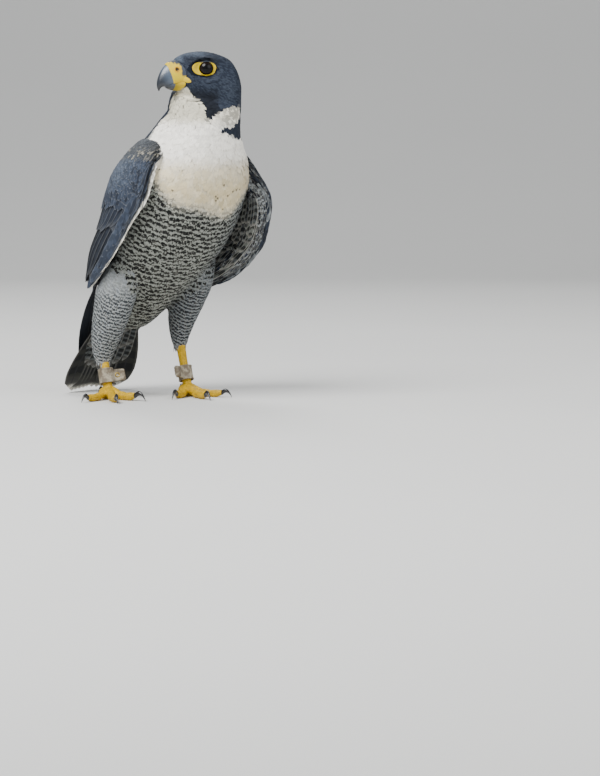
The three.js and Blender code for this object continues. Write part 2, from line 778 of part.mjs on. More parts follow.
const slate = finish(0x4a5260, 0.85);
const dark = finish(0x23252d, 0.85);
const pale = finish(0xcfc9b8, 0.9);
const barred = finish(0x9a9d98, 0.9);
const horn = finish(0x3a4250, 0.35);
const yellow = finish(0xe2ab10, 0.55);
const black = finish(0x0d0c0c, 0.25);
const leather = finish(0x6d6152, 0.8);

const falcon = new THREE.Group();

// Adds the largest body of a solid to the falcon as a named mesh.
function add(name, body, material) {
  const mesh = largest(body).getMesh();
  const geometry = new THREE.BufferGeometry();
  geometry.setAttribute("position", new THREE.BufferAttribute(mesh.vertProperties, 3));
  geometry.setIndex(new THREE.BufferAttribute(mesh.triVerts, 1));
  geometry.computeVertexNormals();
  const piece = new THREE.Mesh(geometry, material);
  piece.name = name;
  falcon.add(piece);
}

const far = 600;
const floorBlock = box(point(-far, -far, -50), point(far, far, 0));
const sides = { left: 1, right: -1 };

// Head, eyes and beak
const both = Object.values(sides);
const upperBeak = beak(UPPER_BEAK, 1);
const lowerBeak = beak(LOWER_BEAK, -1);
const beakRoom = [beak(UPPER_BEAK, 1, GAP), beak(LOWER_BEAK, -1, GAP)];
const scooped = cutBy(headShell(), ...both.map((side) => almond(side, ORBIT, ORBIT.radii)));
const skull = joined([scooped, ...both.map((side) => brow(side))]);
const eyeRooms = both.flatMap((side) => [almond(side, LID, LID.radii, GAP), eyeBall(side, GAP)]);
add("head", cutBy(skull, ...eyeRooms, ...beakRoom), dark);
for (const [name, side] of Object.entries(sides)) {
  add(`eye_${name}`, eyeBall(side), black);
  const lid = cutBy(almond(side, LID, LID.radii), eyeBall(side, GAP), ...beakRoom);
  add(`lid_${name}`, lid, yellow);
}

const nostrils = both.map((side) => nostril(side));
add("cere", cutBy(upperBeak, aheadOf(CERE_EDGE, -GAP), ...nostrils), yellow);
add("bill_upper", upperBeak.intersect(aheadOf(CERE_EDGE, 0)), horn);
const lowerLeft = cutBy(lowerBeak, beakRoom[0]);
add("gape", cutBy(lowerLeft, aheadOf(CERE_EDGE, -GAP)), yellow);
add("bill_lower", lowerLeft.intersect(aheadOf(CERE_EDGE, 0)), horn);

// Trunk, parted at the neck
const whole = trunk();
const roomForTrunk = trunk(GAP);
const neckCut = new THREE.BoxGeometry(200, 200, GAP);
neckCut.rotateX(rad(-22)).translate(0, -90, 264);
const cutTrunk = cutBy(whole, solid(neckCut), headShell(GAP), ...beakRoom);
const parts = cutTrunk.decompose().sort((a, b) => b.volume() - a.volume());
add("torso", parts[0], barred);
add("neck", parts[1], pale);

// Wings and tail
for (const [name, side] of Object.entries(sides)) {
  add(`wing_${name}`, cutBy(armWing(side), roomForTrunk), slate);
  add(`primaries_${name}`, cutBy(handWing(side), roomForTrunk), dark);
}
const handRooms = both.map((side) => handRoom(side));
add("tail", cutBy(tailFan(), roomForTrunk), dark);

// Legs
for (const [name, foot] of Object.entries(FOOT)) {
  const wingRoom = plainWing(sides[name], 2 * GAP);
  const thighBody = thigh(THIGH[name]);
  add(`thigh_${name}`, cutBy(thighBody, roomForTrunk, wingRoom, ...handRooms), pale);
  const legBody = joined([shank(foot), hub(foot)]);
  add(`tarsus_${name}`, cutBy(legBody, thigh(THIGH[name], GAP), floorBlock), yellow);
  const room = [hub(foot, GAP), shank(foot, GAP)];
  for (const toe of TOES) {
    add(`toe_${name}_${toe.name}`, cutBy(toeBody(foot, toe), ...room, floorBlock), yellow);
    room.push(toeBody(foot, toe, GAP));
    add(`claw_${name}_${toe.name}`, cutBy(clawBody(foot, toe), floorBlock), black);
  }
  add(`anklet_${name}`, cutBy(anklet(foot), hub(foot, GAP), shank(foot, GAP)), leather);
}

falcon.position.set(-BOX_CENTRE.x, -BOX_CENTRE.y, 0);

export default falcon;
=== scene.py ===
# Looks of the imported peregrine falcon: one skin, its plumage as mesh feathers, bare parts, a studio.
# Shapes are worked out in millimetres in the bird's own frame: +Z up, breast to -Y, its left to +X.

import itertools
import math

import bmesh
import bpy
import numpy as np
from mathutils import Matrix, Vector
from mathutils.bvhtree import BVHTree


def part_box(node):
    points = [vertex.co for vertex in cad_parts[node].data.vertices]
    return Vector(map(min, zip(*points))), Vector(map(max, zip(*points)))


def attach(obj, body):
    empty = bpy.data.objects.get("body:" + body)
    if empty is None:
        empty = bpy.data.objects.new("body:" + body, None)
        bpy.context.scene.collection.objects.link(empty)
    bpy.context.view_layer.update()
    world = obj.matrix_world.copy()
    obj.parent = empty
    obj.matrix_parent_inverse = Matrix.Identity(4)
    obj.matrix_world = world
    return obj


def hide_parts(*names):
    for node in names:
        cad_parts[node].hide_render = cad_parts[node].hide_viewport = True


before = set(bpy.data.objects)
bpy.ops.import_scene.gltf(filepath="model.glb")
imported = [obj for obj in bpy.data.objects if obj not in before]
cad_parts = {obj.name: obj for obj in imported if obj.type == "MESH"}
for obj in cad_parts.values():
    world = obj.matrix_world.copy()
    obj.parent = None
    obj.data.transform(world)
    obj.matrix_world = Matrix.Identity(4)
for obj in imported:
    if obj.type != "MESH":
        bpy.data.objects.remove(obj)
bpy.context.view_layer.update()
MM = 0.001
rng = np.random.default_rng(11)


# Shapes shared with the solids

TRUNK = np.array([
    [-104, 303, 35.5, 35.5, 35],
    [-101, 291, 36.5, 36, 37],
    [-99, 279, 38, 37, 38],
    [-89, 258, 49, 44, 43],
    [-75, 231, 64, 54, 49],
    [-61, 204, 66, 57, 49],
    [-45, 175, 63, 53, 47],
    [-26, 146, 55, 44, 43],
    [-8, 120, 41, 34, 37],
    [9, 98, 32, 26, 29],
    [21, 80, 23, 17, 20],
    [27, 71, 12, 8, 10],
], float)
HEAD = np.array([
    [-33.5, 303, 292, 5],
    [-31, 315, 287, 13],
    [-27, 328.5, 284, 19.5],
    [-20, 339.5, 282, 24],
    [-9, 344.5, 284, 25.5],
    [4, 347.2, 288, 25.5],
    [16, 347.3, 294, 23],
    [26, 345.5, 302, 17.5],
    [32, 343, 307, 11.5],
    [37, 340.2, 309.5, 7.5],
    [41, 336.8, 312, 4],
], float)
HEAD_AT = np.array([0.0, -107.0, 0.0])
HEAD_TURN = math.radians(105)
HEAD_SQUARE = 2.4
FACING = np.array([-math.sin(HEAD_TURN), -math.cos(HEAD_TURN), 0])
HEAD_LEFT = np.array([-FACING[1], FACING[0], 0])
UP = np.array([0.0, 0.0, 1.0])

EYE = {"forward": 9.4, "left": 14.9, "height": 330, "radius": 8}
CHEEK_TURN = math.radians(17)
ORBIT = {"forward": 12, "left": 26.9, "height": 329.6, "radii": np.array([19, 10.6, 12.5])}

WING = np.array([
    [262, 50, -93, 54, -80, 47, -62, 34, -55],
    [248, 63, -98, 67, -73, 55, -48, 30, -43],
    [228, 71, -97, 77, -58, 60, -34, 26, -29],
    [204, 75, -91, 79, -50, 59, -16, 22, -13],
    [178, 76, -72, 78, -33, 54, 0, 18, 5],
    [150, 73, -47, 73.5, -8, 44.5, 22.5, 13, 26],
    [122, 64, -8, 59, 19.5, 34.5, 38.5, 9, 42],
    [95, 52, 29, 46, 45.5, 27, 55.5, 7, 57],
    [65, 41, 57, 35.5, 67.5, 21, 72.5, 5, 73],
    [38, 33, 72, 27.5, 80.5, 16, 85, 4, 86],
    [14, 25, 84, 19.5, 89.5, 11, 93, 3, 94],
], float)
DROOP = np.array([[-20], [-16], [-2], [20], [35], [46], [50], [11], [0], [0], [0]], float)

TAIL = {"y": 16, "z": 129.3, "length": 143.5, "lean": math.radians(29), "sag": 0.0022}

THIGH = {
    "right": np.array([
        [-40, -24, 140, 17, 24],
        [-43, -15, 115, 18.5, 25],
        [-45.5, -9, 90, 17.5, 22.5],
        [-47.5, -2, 66, 14.5, 18],
        [-48.5, 3, 47, 10.5, 12],
        [-48.5, 4, 36, 6.8, 7.4],
    ], float),
    "left": np.array([
        [38, -38, 140, 17, 24],
        [40, -30, 115, 18, 24],
        [38.5, -22, 94, 16.5, 20.5],
        [36.5, -17, 76, 13, 15.5],
        [35.2, -15, 60, 9, 10.5],
        [35, -15, 50, 6.4, 7],
    ], float),
}
FOOT = {
    "right": {"x": -50.5, "y": -8, "heel": np.array([-48.5, 4, 46.0]), "turn": 28, "side": -1},
    "left": {"x": 31.5, "y": -33, "heel": np.array([35, -14.5, 57.0]), "turn": 16, "side": 1},
}
HUB = {"height": 6.4, "width": 10.5, "rise": 6.8}
SHANK = {"thin": 4, "thick": 4.7}
TOES = [
    {"name": "middle", "swing": 0, "length": 46, "thick": 4.7, "claw": 15},
    {"name": "inner", "swing": -42, "length": 34, "thick": 4.8, "claw": 16},
    {"name": "outer", "swing": 42, "length": 38, "thick": 4.4, "claw": 13},
    {"name": "hind", "swing": 172, "length": 22, "thick": 4.8, "claw": 18},
]
SIDES = {"left": 1, "right": -1}


def unit(v):
    return v / np.maximum(np.linalg.norm(v, axis=-1, keepdims=True), 1e-9)


def smooth(x, low, high):
    t = np.clip((np.asarray(x, float) - low) / (high - low), 0, 1)
    return t * t * (3 - 2 * t)


def mix(a, b, t):
    return a + (b - a) * t


# Raises the size of a value to a power and keeps its sign.
def signed(value, power):
    return np.sign(value) * np.abs(value) ** power


def circle(count):
    return np.linspace(0, 2 * math.pi, count, endpoint=False)


# Reads a column of a table at places along its first column.
def read(table, at, column=1):
    return np.interp(at, table[:, 0], table[:, column])


# Rows of numbers under shared headings, each row by its name.
def named(headings, rows):
    return {name: dict(zip(headings.split(), row)) for name, row in rows.items()}


def catmull(a, b, d, e, t):
    return b + 0.5 * t * (d - a + t * (2 * a - 5 * b + 4 * d - e + t * (3 * (b - d) + e - a)))


# A smooth curve through the rows of a table, read at s rows from its start.
def along(rows, s):
    last = len(rows) - 1
    s = np.asarray(s, float)
    i = np.clip(np.floor(s).astype(int), 0, last - 1)
    t = (s - i)[..., None]
    row = lambda k: rows[np.clip(k, 0, last)]
    return catmull(row(i - 1), row(i), row(i + 1), row(i + 2), t)


# Places spread evenly along such a curve, from its start to its end.
def walk(rows, count):
    return along(rows, np.linspace(0, len(rows) - 1, count))


def head_point(forward, left, height):
    forward, left, height = np.broadcast_arrays(forward, left, np.asarray(height, float))
    flat = HEAD_AT + forward[..., None] * FACING + left[..., None] * HEAD_LEFT
    return flat + height[..., None] * UP


# A point's way forward and left of the head's middle, and its height.
def head_local(p):
    away = p - HEAD_AT
    return away @ FACING, away @ HEAD_LEFT, p[..., 2]


# A point of the wing's outer face: u from the wrist to the tip, v from the lower to the back edge.
def wing_face(u, v, side):
    u, v = np.broadcast_arrays(np.asarray(u, float), np.asarray(v, float))
    level = along(WING, u * (len(WING) - 1))
    cut = level[..., 1:].reshape(u.shape + (4, 2)).copy()
    if side > 0:
        hang = along(DROOP, u * (len(DROOP) - 1))[..., 0]
        for k in range(4):
            cut[..., k, 1] -= hang * (1 - k / 3) ** 2
    i = np.clip(np.floor(3 * v).astype(int), 0, 2)
    t = (3 * v - i)[..., None]

    def row(k):
        k = np.clip(k, 0, 3)[..., None, None]
        return np.take_along_axis(cut, np.broadcast_to(k, k.shape[:-1] + (2,)), axis=-2)[..., 0, :]

    xy = catmull(row(i - 1), row(i), row(i + 1), row(i + 2), t)
    return np.stack([side * xy[..., 0], xy[..., 1], level[..., 0]], -1)


# The same point sunk below the face. The left wrist and the right front corner are tucked in.
def wing_point(u, v, depth, side):
    d = 0.01
    u, v, depth = np.broadcast_arrays(np.asarray(u, float), np.asarray(v, float), depth)
    across = wing_face(u, v + d, side) - wing_face(u, v - d, side)
    down = wing_face(u + d, v, side) - wing_face(u - d, v, side)
    inwards = unit(np.cross(across, down)) * side
    tuck = 14 * smooth(u, 0.15, 0.0) if side > 0 else 6 * smooth(u, 0.14, 0) * smooth(v, 0.4, 0)
    return wing_face(u, v, side) + inwards * (depth + tuck)[..., None]


def wing_width(u, side):
    points = wing_face(np.asarray(u, float)[..., None], np.linspace(0, 1, 9), side)
    return np.linalg.norm(np.diff(points, axis=-2), axis=-1).sum(-1)


def tail_point(u, across, rise):
    u, across, rise = np.broadcast_arrays(u, across, np.asarray(rise, float))
    lean = TAIL["lean"]
    back = np.array([0, math.cos(lean), math.sin(lean)])
    down = np.array([0, math.sin(lean), -math.cos(lean)])
    at = np.stack([across, np.full(u.shape, TAIL["y"]), np.full(u.shape, TAIL["z"])], -1)
    lifted = rise - TAIL["sag"] * across**2
    return at + u[..., None] * TAIL["length"] * down + lifted[..., None] * back


# Where the bird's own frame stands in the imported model, from the centre of an eye.
eye_low, eye_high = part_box("eye_right")
eye_place = head_point(EYE["forward"], -EYE["left"], EYE["height"])
SHIFT = np.array((eye_low + eye_high) / 2) / MM - eye_place


def to_frame(points):
    return (np.asarray(points, float) + SHIFT) * MM


# Colours

def linear(code):
    values = [int(code[i:i + 2], 16) / 255 for i in (0, 2, 4)]
    return np.array([v / 12.92 if v <= 0.04045 else ((v + 0.055) / 1.055) ** 2.4 for v in values])


CREAM = linear("efe9d9")
BUFF = linear("c9ba94")
ASH = linear("878a83")
FLANK = linear("60666a")
THIGH_GREY = linear("868d94")
INK = linear("050607")
THIGH_INK = linear("1f2328")
CAP = linear("1e2532")
MASK = linear("0e1118")
FOREHEAD = linear("4b5563")
SLATE = linear("283040")
SLATE_DEEP = linear("1b1f27")
SLATE_PALE = linear("616c7b")
TAIL_DARK = linear("131417")
TAIL_PALE = linear("34352f")
WHITE_EDGE = linear("e9e6db")
YELLOW = np.array([0.66, 0.4, 0.0])
LEMON = np.array([0.6, 0.45, 0.002])


# Mesh making

def add_object(name, data):
    made = bpy.data.objects.new(name, data)
    bpy.context.scene.collection.objects.link(made)
    return made


# Makes an object from points, faces as rows of point numbers, and named values at each point.
def make_mesh(name, points, faces, material, colours, vectors=None, uvs=None, sharp=60):
    mesh = bpy.data.meshes.new(name)
    sizes = np.concatenate([np.full(len(f), f.shape[1]) for f in faces])
    corners = np.concatenate([f.reshape(-1) for f in faces]).astype(np.int32)
    mesh.vertices.add(len(points))
    mesh.vertices.foreach_set("co", to_frame(points).astype(np.float32).reshape(-1))
    mesh.loops.add(len(corners))
    mesh.loops.foreach_set("vertex_index", corners)
    mesh.polygons.add(len(sizes))
    mesh.polygons.foreach_set("loop_start", (np.cumsum(sizes) - sizes).astype(np.int32))
    mesh.update(calc_edges=True)
    mesh.validate()
    for key, values in colours.items():
        layer = mesh.attributes.new(key, "FLOAT_COLOR", "POINT")
        solid = np.ones((len(points), 4), np.float32)
        solid[:, :3] = values
        layer.data.foreach_set("color", solid.reshape(-1))
    for key, values in (vectors or {}).items():
        layer = mesh.attributes.new(key, "FLOAT_VECTOR", "POINT")
        layer.data.foreach_set("vector", np.asarray(values, np.float32).reshape(-1))
    for key, values in (uvs or {}).items():
        layer = mesh.uv_layers.new(name=key)
        layer.data.foreach_set("uv", np.asarray(values, np.float32)[corners].reshape(-1))
    mesh.shade_smooth()
    mesh.set_sharp_from_angle(angle=math.radians(sharp))
    mesh.materials.append(material)
    made = add_object(name, mesh)
    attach(made, "root")
    return made


# Quads over rings of points, one ring after another. A closed row of rings makes a hoop.
def ring_faces(rings, sides, closed=False):
    r, i = np.meshgrid(np.arange(rings if closed else rings - 1), np.arange(sides), indexing="ij")
    low, high, beside = r * sides, (r + 1) % rings * sides, (i + 1) % sides
    return np.stack([low + i, low + beside, high + beside, high + i], -1).reshape(-1, 4)


# Closed rings with a point at each end, as a bmesh added to what is there.
def add_rings(bm, rings):
    rows = [[bm.verts.new(Vector(p)) for p in ring] for ring in rings]
    n = len(rows[0])
    for low, high in zip(rows, rows[1:]):
        for i in range(n):
            bm.faces.new((low[i], low[(i + 1) % n], high[(i + 1) % n], high[i]))
    for row, ring in ((rows[0], rings[0]), (rows[-1], rings[-1])):
        centre = bm.verts.new(Vector(np.mean(ring, axis=0)))
        for i in range(n):
            bm.faces.new((row[i], row[(i + 1) % n], centre))


def trunk_rings(count=44, sides=56):
    rings = []
    for s in np.linspace(0, len(TRUNK) - 1, count):
        y, z, width, front, back = along(TRUNK, s)
        ahead = along(TRUNK, s + 0.05)[:2] - along(TRUNK, s - 0.05)[:2]
        forward = np.array([0, ahead[1], -ahead[0]]) / np.hypot(*ahead)
        phi = circle(sides)
        reach = np.where(np.cos(phi) > 0, front, back) * np.cos(phi)
        ring = np.stack([width * np.sin(phi), np.full(sides, y), np.full(sides, z)], -1)
        rings.append(ring + reach[:, None] * forward)
    return rings


def head_rings(count=36, sides=44):
    rings = []
    for forward, top, bottom, width in walk(HEAD, count):
        a = circle(sides)
        height = (top + bottom) / 2 + (top - bottom) / 2 * signed(np.cos(a), 2 / HEAD_SQUARE)
        rings.append(head_point(forward, width * signed(np.sin(a), 2 / HEAD_SQUARE), height))
    return rings


def thigh_rings(rows, count=24, sides=28):
    rings = []
    for x, y, z, a, b in walk(rows, count):
        t = circle(sides)
        rings.append(np.stack([x + a * np.cos(t), y + b * np.sin(t), np.full(sides, z)], -1))
    return rings


# The ridge over the eye: forward, left, height, radius.
BROW = np.array([
    [-6, 18, 335.5, 0.8],
    [3, 20.2, 338.2, 2.2],
    [12, 19.6, 339.2, 3.0],
    [20, 16.8, 338.6, 2.8],
    [28, 12.2, 336.2, 1.4],
])


def brow_rings(side):
    rings = []
    for forward, left, height, r in walk(BROW, 13):
        a = circle(12)
        rings.append(head_point(forward, side * (left + r * np.sin(a)), height + r * np.cos(a)))
    return rings


# The flesh of the wing under its vanes: how deep its outer and inner faces lie along it.
WING_BED = np.array([
    [0, 1.6, 12],
    [0.06, 1.8, 16.5],
    [0.12, 2, 17.5],
    [0.2, 3.4, 17.5],
    [0.3, 5.8, 14.5],
    [0.46, 7.6, 10],
    [0.5, 8, 9.5],
])


# Rows of the outer and the inner face, drawn together into a round edge in front and behind.
def wing_bed_rows(side):
    outer_rows, inner_rows = [], []
    vs = np.concatenate([[0.0, 0.012, 0.03, 0.055], np.linspace(0.09, 0.91, 13), [0.95, 0.98]])
    near = np.clip(1 - vs / 0.09, 0, 1)
    far = np.clip(1 - (1 - vs) / 0.08, 0, 1)
    pinch = 1 - np.sqrt(np.clip(1 - near**2, 0, 1)) + 0.8 * far**2
    for u in np.linspace(0.01, 0.5, 22):
        outer = read(WING_BED, u)
        inner = read(WING_BED, u, 2)
        half = (inner - outer) / 2
        outer_rows.append(wing_point(u, vs, outer + half * pinch * 0.92, side))
        inner_rows.append(wing_point(u, vs, inner - half * pinch * 0.92, side))
    return outer_rows, inner_rows


def wing_bed_rings(side):
    return [np.concatenate([top, low[::-1]]) for top, low in zip(*wing_bed_rows(side))]


# The skin: flesh of head, neck, torso, thighs and wings as one closed surface.

SKIN = {"voxel": 1.5, "smoothing": 8, "coat": 1.3}


# The directions along and out of the cheek, which is turned against the head.
def cheek_axes(side):
    angle = math.pi / 2 - HEAD_TURN - side * CHEEK_TURN
    along_cheek = np.array([math.cos(angle), math.sin(angle), 0])
    outwards = -side * np.array([-math.sin(angle), math.cos(angle), 0])
    return along_cheek, outwards


# Sinks the points that lie in the hollow of the eye down to the hollow's floor.
def scoop(points, side):
    along_cheek, outwards = cheek_axes(side)
    away = points - head_point(ORBIT["forward"], side * ORBIT["left"], ORBIT["height"])
    a, b, c = ORBIT["radii"]
    x = away @ along_cheek / a
    y = away @ outwards
    z = away[:, 2] / c
    floor = -b * np.sqrt(np.clip(1 - x**2 - z**2, 0, 1))
    sink = np.where((x**2 + z**2 < 1) & (np.abs(y) < b), np.maximum(y - floor, 0), 0)
    return points - 0.92 * sink[:, None] * outwards


# Melts the closed bodies of a bmesh into one smooth surface.
def remeshed(bm, settings):
    bmesh.ops.recalc_face_normals(bm, faces=bm.faces)
    mesh = bpy.data.meshes.new("melt")
    bm.to_mesh(mesh)
    bm.free()
    made = add_object("melt", mesh)
    remesh = made.modifiers.new("remesh", "REMESH")
    remesh.mode = "VOXEL"
    remesh.voxel_size = settings["voxel"]
    soften = made.modifiers.new("soften", "SMOOTH")
    soften.factor = 0.5
    soften.iterations = settings["smoothing"]
    whole = made.evaluated_get(bpy.context.evaluated_depsgraph_get()).to_mesh()
    points = np.array([v.co for v in whole.vertices])
    faces = np.array([p.vertices for p in whole.polygons])
    bpy.data.objects.remove(made)
    return points, faces


def build_flesh():
    bm = bmesh.new()
    bodies = [trunk_rings(), head_rings()]
    for name, side in SIDES.items():
        bodies += [thigh_rings(THIGH[name]), brow_rings(side), wing_bed_rings(side)]
    for rings in bodies:
        add_rings(bm, rings)
    return remeshed(bm, SKIN)


def vertex_normals(points, quads):
    n = np.cross(points[quads[:, 2]] - points[quads[:, 0]], points[quads[:, 3]] - points[quads[:, 1]])
    total = np.zeros_like(points)
    for k in range(4):
        np.add.at(total, quads[:, k], n)
    return unit(total)


# Rounds the shape where it is chosen, taking flesh away but adding hardly any.
def rounded(points, quads, rounds, chosen):
    start, normals = points, vertex_normals(points, quads)
    for _ in range(rounds):
        total, count = np.zeros_like(points), np.zeros(len(points))
        for k in range(4):
            np.add.at(total, quads[:, k], points[quads[:, (k + 1) % 4]] + points[quads[:, k - 1]])
            np.add.at(count, quads[:, k], 2)
        moved = mix(points, total / count[:, None], 0.7)
        out = ((moved - start) * normals).sum(-1, keepdims=True)
        moved = moved - normals * np.maximum(out - 0.6, 0)
        points = mix(points, moved, chosen[:, None])
    return points


flesh, flesh_quads = build_flesh()

# The shelf that the neck makes under the head is softened, and more so under the far cheek.
ahead, beside, height = head_local(flesh)
shelf = smooth(height, 258, 270) * smooth(height, 312, 302) * smooth(ahead, 24, 6)
far_shelf = smooth(height, 262, 278) * smooth(height, 318, 309) * smooth(ahead, 24, 10)
flesh = rounded(flesh, flesh_quads, 60, shelf)
flesh = rounded(flesh, flesh_quads, 170, far_shelf * smooth(beside, -8, -22))
for side in SIDES.values():
    flesh = scoop(flesh, side)
flesh_normals = vertex_normals(flesh, flesh_quads)
flesh = flesh - flesh_normals * SKIN["coat"]
flesh_tree = BVHTree.FromPolygons([Vector(p) for p in flesh], flesh_quads.tolist())


# Drops points onto the skin: where they land, and the skin's smooth normal there.
def onto_skin(points):
    found = [flesh_tree.find_nearest(p) for p in points.reshape(-1, 3)]
    landed = np.array([hit[0] for hit in found])
    normals = flesh_normals[flesh_quads[[hit[2] for hit in found]]].mean(1)
    return landed.reshape(points.shape), unit(normals).reshape(points.shape)


# Materials

# Adds nodes to a material's tree in few words.
class Nodes:
    def __init__(self, name):
        self.material = bpy.data.materials.new(name)
        self.material.use_nodes = True
        self.tree = self.material.node_tree
        self.shader = self.tree.nodes["Principled BSDF"]

    def add(self, kind, inputs=(), **settings):
        made = self.tree.nodes.new(kind)
        for key, value in settings.items():
            setattr(made, key, value)
        for key, value in dict(inputs).items():
            self.give(made.inputs[key], value)
        return made

    def give(self, socket, value):
        if isinstance(value, bpy.types.NodeSocket):
            self.tree.links.new(value, socket)
        else:
            socket.default_value = value

    def math(self, operation, a, b=None, c=None, clamp=False):
        inputs = {k: v for k, v in enumerate((a, b, c)) if v is not None}
        return self.add("ShaderNodeMath", inputs, operation=operation, use_clamp=clamp).outputs[0]

    def attribute(self, name, output="Color"):
        return self.add("ShaderNodeAttribute", attribute_name=name).outputs[output]

    def split(self, vector):
        return self.add("ShaderNodeSeparateXYZ", {0: vector}).outputs

    def blend(self, amount, a, b, mode="MIX"):
        made = self.add("ShaderNodeMix", data_type="RGBA", blend_type=mode)
        self.give(made.inputs[0], amount)
        self.give(made.inputs[6], a)
        self.give(made.inputs[7], b)
        return made.outputs[2]

    def ramp(self, value, low, high):
        inputs = {0: value, 1: low, 2: high}
        return self.add("ShaderNodeMapRange", inputs, interpolation_type="SMOOTHSTEP").outputs[0]

    # A colour made lighter and darker by a value from 0 to 1, taken between two shares.
    def shaded(self, colour, value, low, high):
        shade = self.add("ShaderNodeMapRange", {0: value, 3: low, 4: high}).outputs[0]
        grey = self.add("ShaderNodeCombineColor", {0: shade, 1: shade, 2: shade}).outputs[0]
        return self.blend(1.0, colour, grey, "MULTIPLY")

    def noise(self, scale, detail=3.0, vector=None, rough=0.6):
        inputs = {"Scale": scale, "Detail": detail, "Roughness": rough}
        if vector is not None:
            inputs["Vector"] = vector
        return self.add("ShaderNodeTexNoise", inputs).outputs[0]

    def place(self):
        return self.add("ShaderNodeTexCoord").outputs["Object"]

    def bump(self, height, strength, distance=0.0002):
        made = self.add("ShaderNodeBump", {"Height": height, "Strength": strength, "Distance": distance})
        self.give(self.shader.inputs["Normal"], made.outputs[0])

    def finish(self, **values):
        for key, value in values.items():
            self.give(self.shader.inputs[key.replace("_", " ")], value)
        return self.material


def rgba(colour):
    return (*[float(c) for c in colour], 1.0)


# Feathers: the ground colour, dark bars and spots, pale fringe, shaft and barbs, by each feather's
# own coordinates: x across it and y from root to tip.
def feather_material(name, barb_scale, shaft):
    n = Nodes(name)
    tone = n.attribute("tone")
    ink = n.attribute("ink")
    bars, run, fringe = n.split(n.attribute("marks", "Vector"))
    spot, edge_tone, ragged = n.split(n.attribute("more", "Vector"))
    x, y, _ = n.split(n.add("ShaderNodeUVMap", uv_map="Feather").outputs[0])
    side = n.math("ABSOLUTE", n.math("SUBTRACT", x, 0.5))
    wander = n.math("MULTIPLY", n.math("SUBTRACT", n.noise(260, 2, n.place()), 0.5), ragged)
    arc = n.math("MULTIPLY", n.math("MULTIPLY", side, side), 0.9)
    phase = n.math("FRACT", n.math("ADD", n.math("SUBTRACT", run, arc), wander))
    pulse = n.math("ABSOLUTE", n.math("SUBTRACT", phase, 0.5))
    bar = n.math("MULTIPLY", n.ramp(pulse, 0.34, 0.25), bars, clamp=True)
    across = n.math("MULTIPLY", side, 2.6)
    down = n.math("MULTIPLY", n.math("SUBTRACT", y, 0.8), 5.5)
    far = n.math("SQRT", n.math("ADD", n.math("POWER", across, 2), n.math("POWER", down, 2)))
    drop = n.math("MULTIPLY", n.ramp(far, 0.75, 0.4), spot, clamp=True)
    dark = n.math("MAXIMUM", bar, drop)
    colour = n.blend(dark, tone, ink)
    rim = n.math("MAXIMUM", n.ramp(side, 0.36, 0.48), n.ramp(y, 0.86, 0.97))
    pale = n.blend(1.0, colour, (1.9, 1.85, 1.75, 1), "MULTIPLY")
    light = n.blend(edge_tone, pale, (0.62, 0.6, 0.54, 1))
    colour = n.blend(n.math("MULTIPLY", rim, fringe, clamp=True), colour, light)
    slant = n.math("MULTIPLY", n.math("SUBTRACT", y, n.math("MULTIPLY", side, 0.9)), barb_scale)
    streak_at = n.add("ShaderNodeCombineXYZ", {0: slant, 1: side, 2: run}).outputs[0]
    streak = n.noise(1.0, 2, streak_at, 0.7)
    colour = n.shaded(colour, streak, 0.74, 1.26)
    stem = n.math("MULTIPLY", n.ramp(side, 0.05, 0.02), shaft, clamp=True)
    colour = n.blend(stem, colour, n.blend(0.6, tone, (0.02, 0.02, 0.025, 1)))
    n.bump(streak, 0.5, 0.00018)
    return n.finish(Base_Color=colour, Roughness=0.78, Specular_IOR_Level=0.22)


# The bare plumage skin under the feathers, in the same markings.
def under_material():
    n = Nodes("plumage_ground")
    colour = n.shaded(n.attribute("tone"), n.noise(900, 3, n.place()), 0.55, 1.0)
    return n.finish(Base_Color=colour, Roughness=0.9, Specular_IOR_Level=0.1)


# Bare yellow skin with fine wrinkles and pores, darker along the wrinkles as painted shade.
def skin_material(name, colour, deep, scale, strength=0.5):
    n = Nodes(name)
    place = n.place()
    cells = n.add("ShaderNodeTexVoronoi", {"Vector": place, "Scale": scale}, feature="DISTANCE_TO_EDGE")
    creases = n.ramp(cells.outputs["Distance"], 0.0, 0.12)
    patchy = n.noise(220, 4, place)
    base = n.blend(n.ramp(patchy, 0.35, 0.7), rgba(deep), rgba(colour))
    # Painted shade: the skin is darkened along the creases between the scales.
    crease_shade = n.math("MULTIPLY", n.math("SUBTRACT", 1.0, creases), strength)
    base = n.blend(crease_shade, base, rgba(deep * 0.5))
    base = n.blend(1.0, base, n.attribute("tone"), "MULTIPLY")
    # Dark slate where short feathers close over the cere, and painted shade under the brow on the upper
    # part of the ring round the eye.
    base = n.blend(n.attribute("feather_cover_and_shade", "Fac"), base, rgba(mix(CAP, FOREHEAD, 0.3)))
    n.bump(creases, strength, 0.0003)
    return n.finish(Base_Color=base, Roughness=0.52, Specular_IOR_Level=0.35)


# Horn in the tones of its mesh, with uneven growth and a thin gloss.
def horn_material(name, gloss):
    n = Nodes(name)
    place = n.place()
    colour = n.shaded(n.attribute("tone"), n.noise(700, 4, place), 0.75, 1.2)
    n.bump(n.noise(1400, 2, place), 0.12, 0.0001)
    n.finish(Base_Color=colour, Roughness=gloss, Specular_IOR_Level=0.5)
    return n.finish(Coat_Weight=0.35, Coat_Roughness=0.2)


def eye_material():
    n = Nodes("eye")
    n.finish(Base_Color=n.attribute("tone"), Roughness=0.35, Specular_IOR_Level=0.05)
    return n.finish(Coat_Weight=0.3, Coat_Roughness=0.02)


def leather_material():
    n = Nodes("leather")
    place = n.place()
    grain = n.add("ShaderNodeTexVoronoi", {"Vector": place, "Scale": 1500.0}).outputs["Distance"]
    wear = n.noise(160, 5, place)
    base = n.blend(n.ramp(wear, 0.4, 0.65), rgba(linear("6b6152")), rgba(linear("a39b88")))
    n.bump(n.math("ADD", grain, n.noise(500, 3, place)), 0.45, 0.0003)
    return n.finish(Base_Color=base, Roughness=0.72, Specular_IOR_Level=0.3)


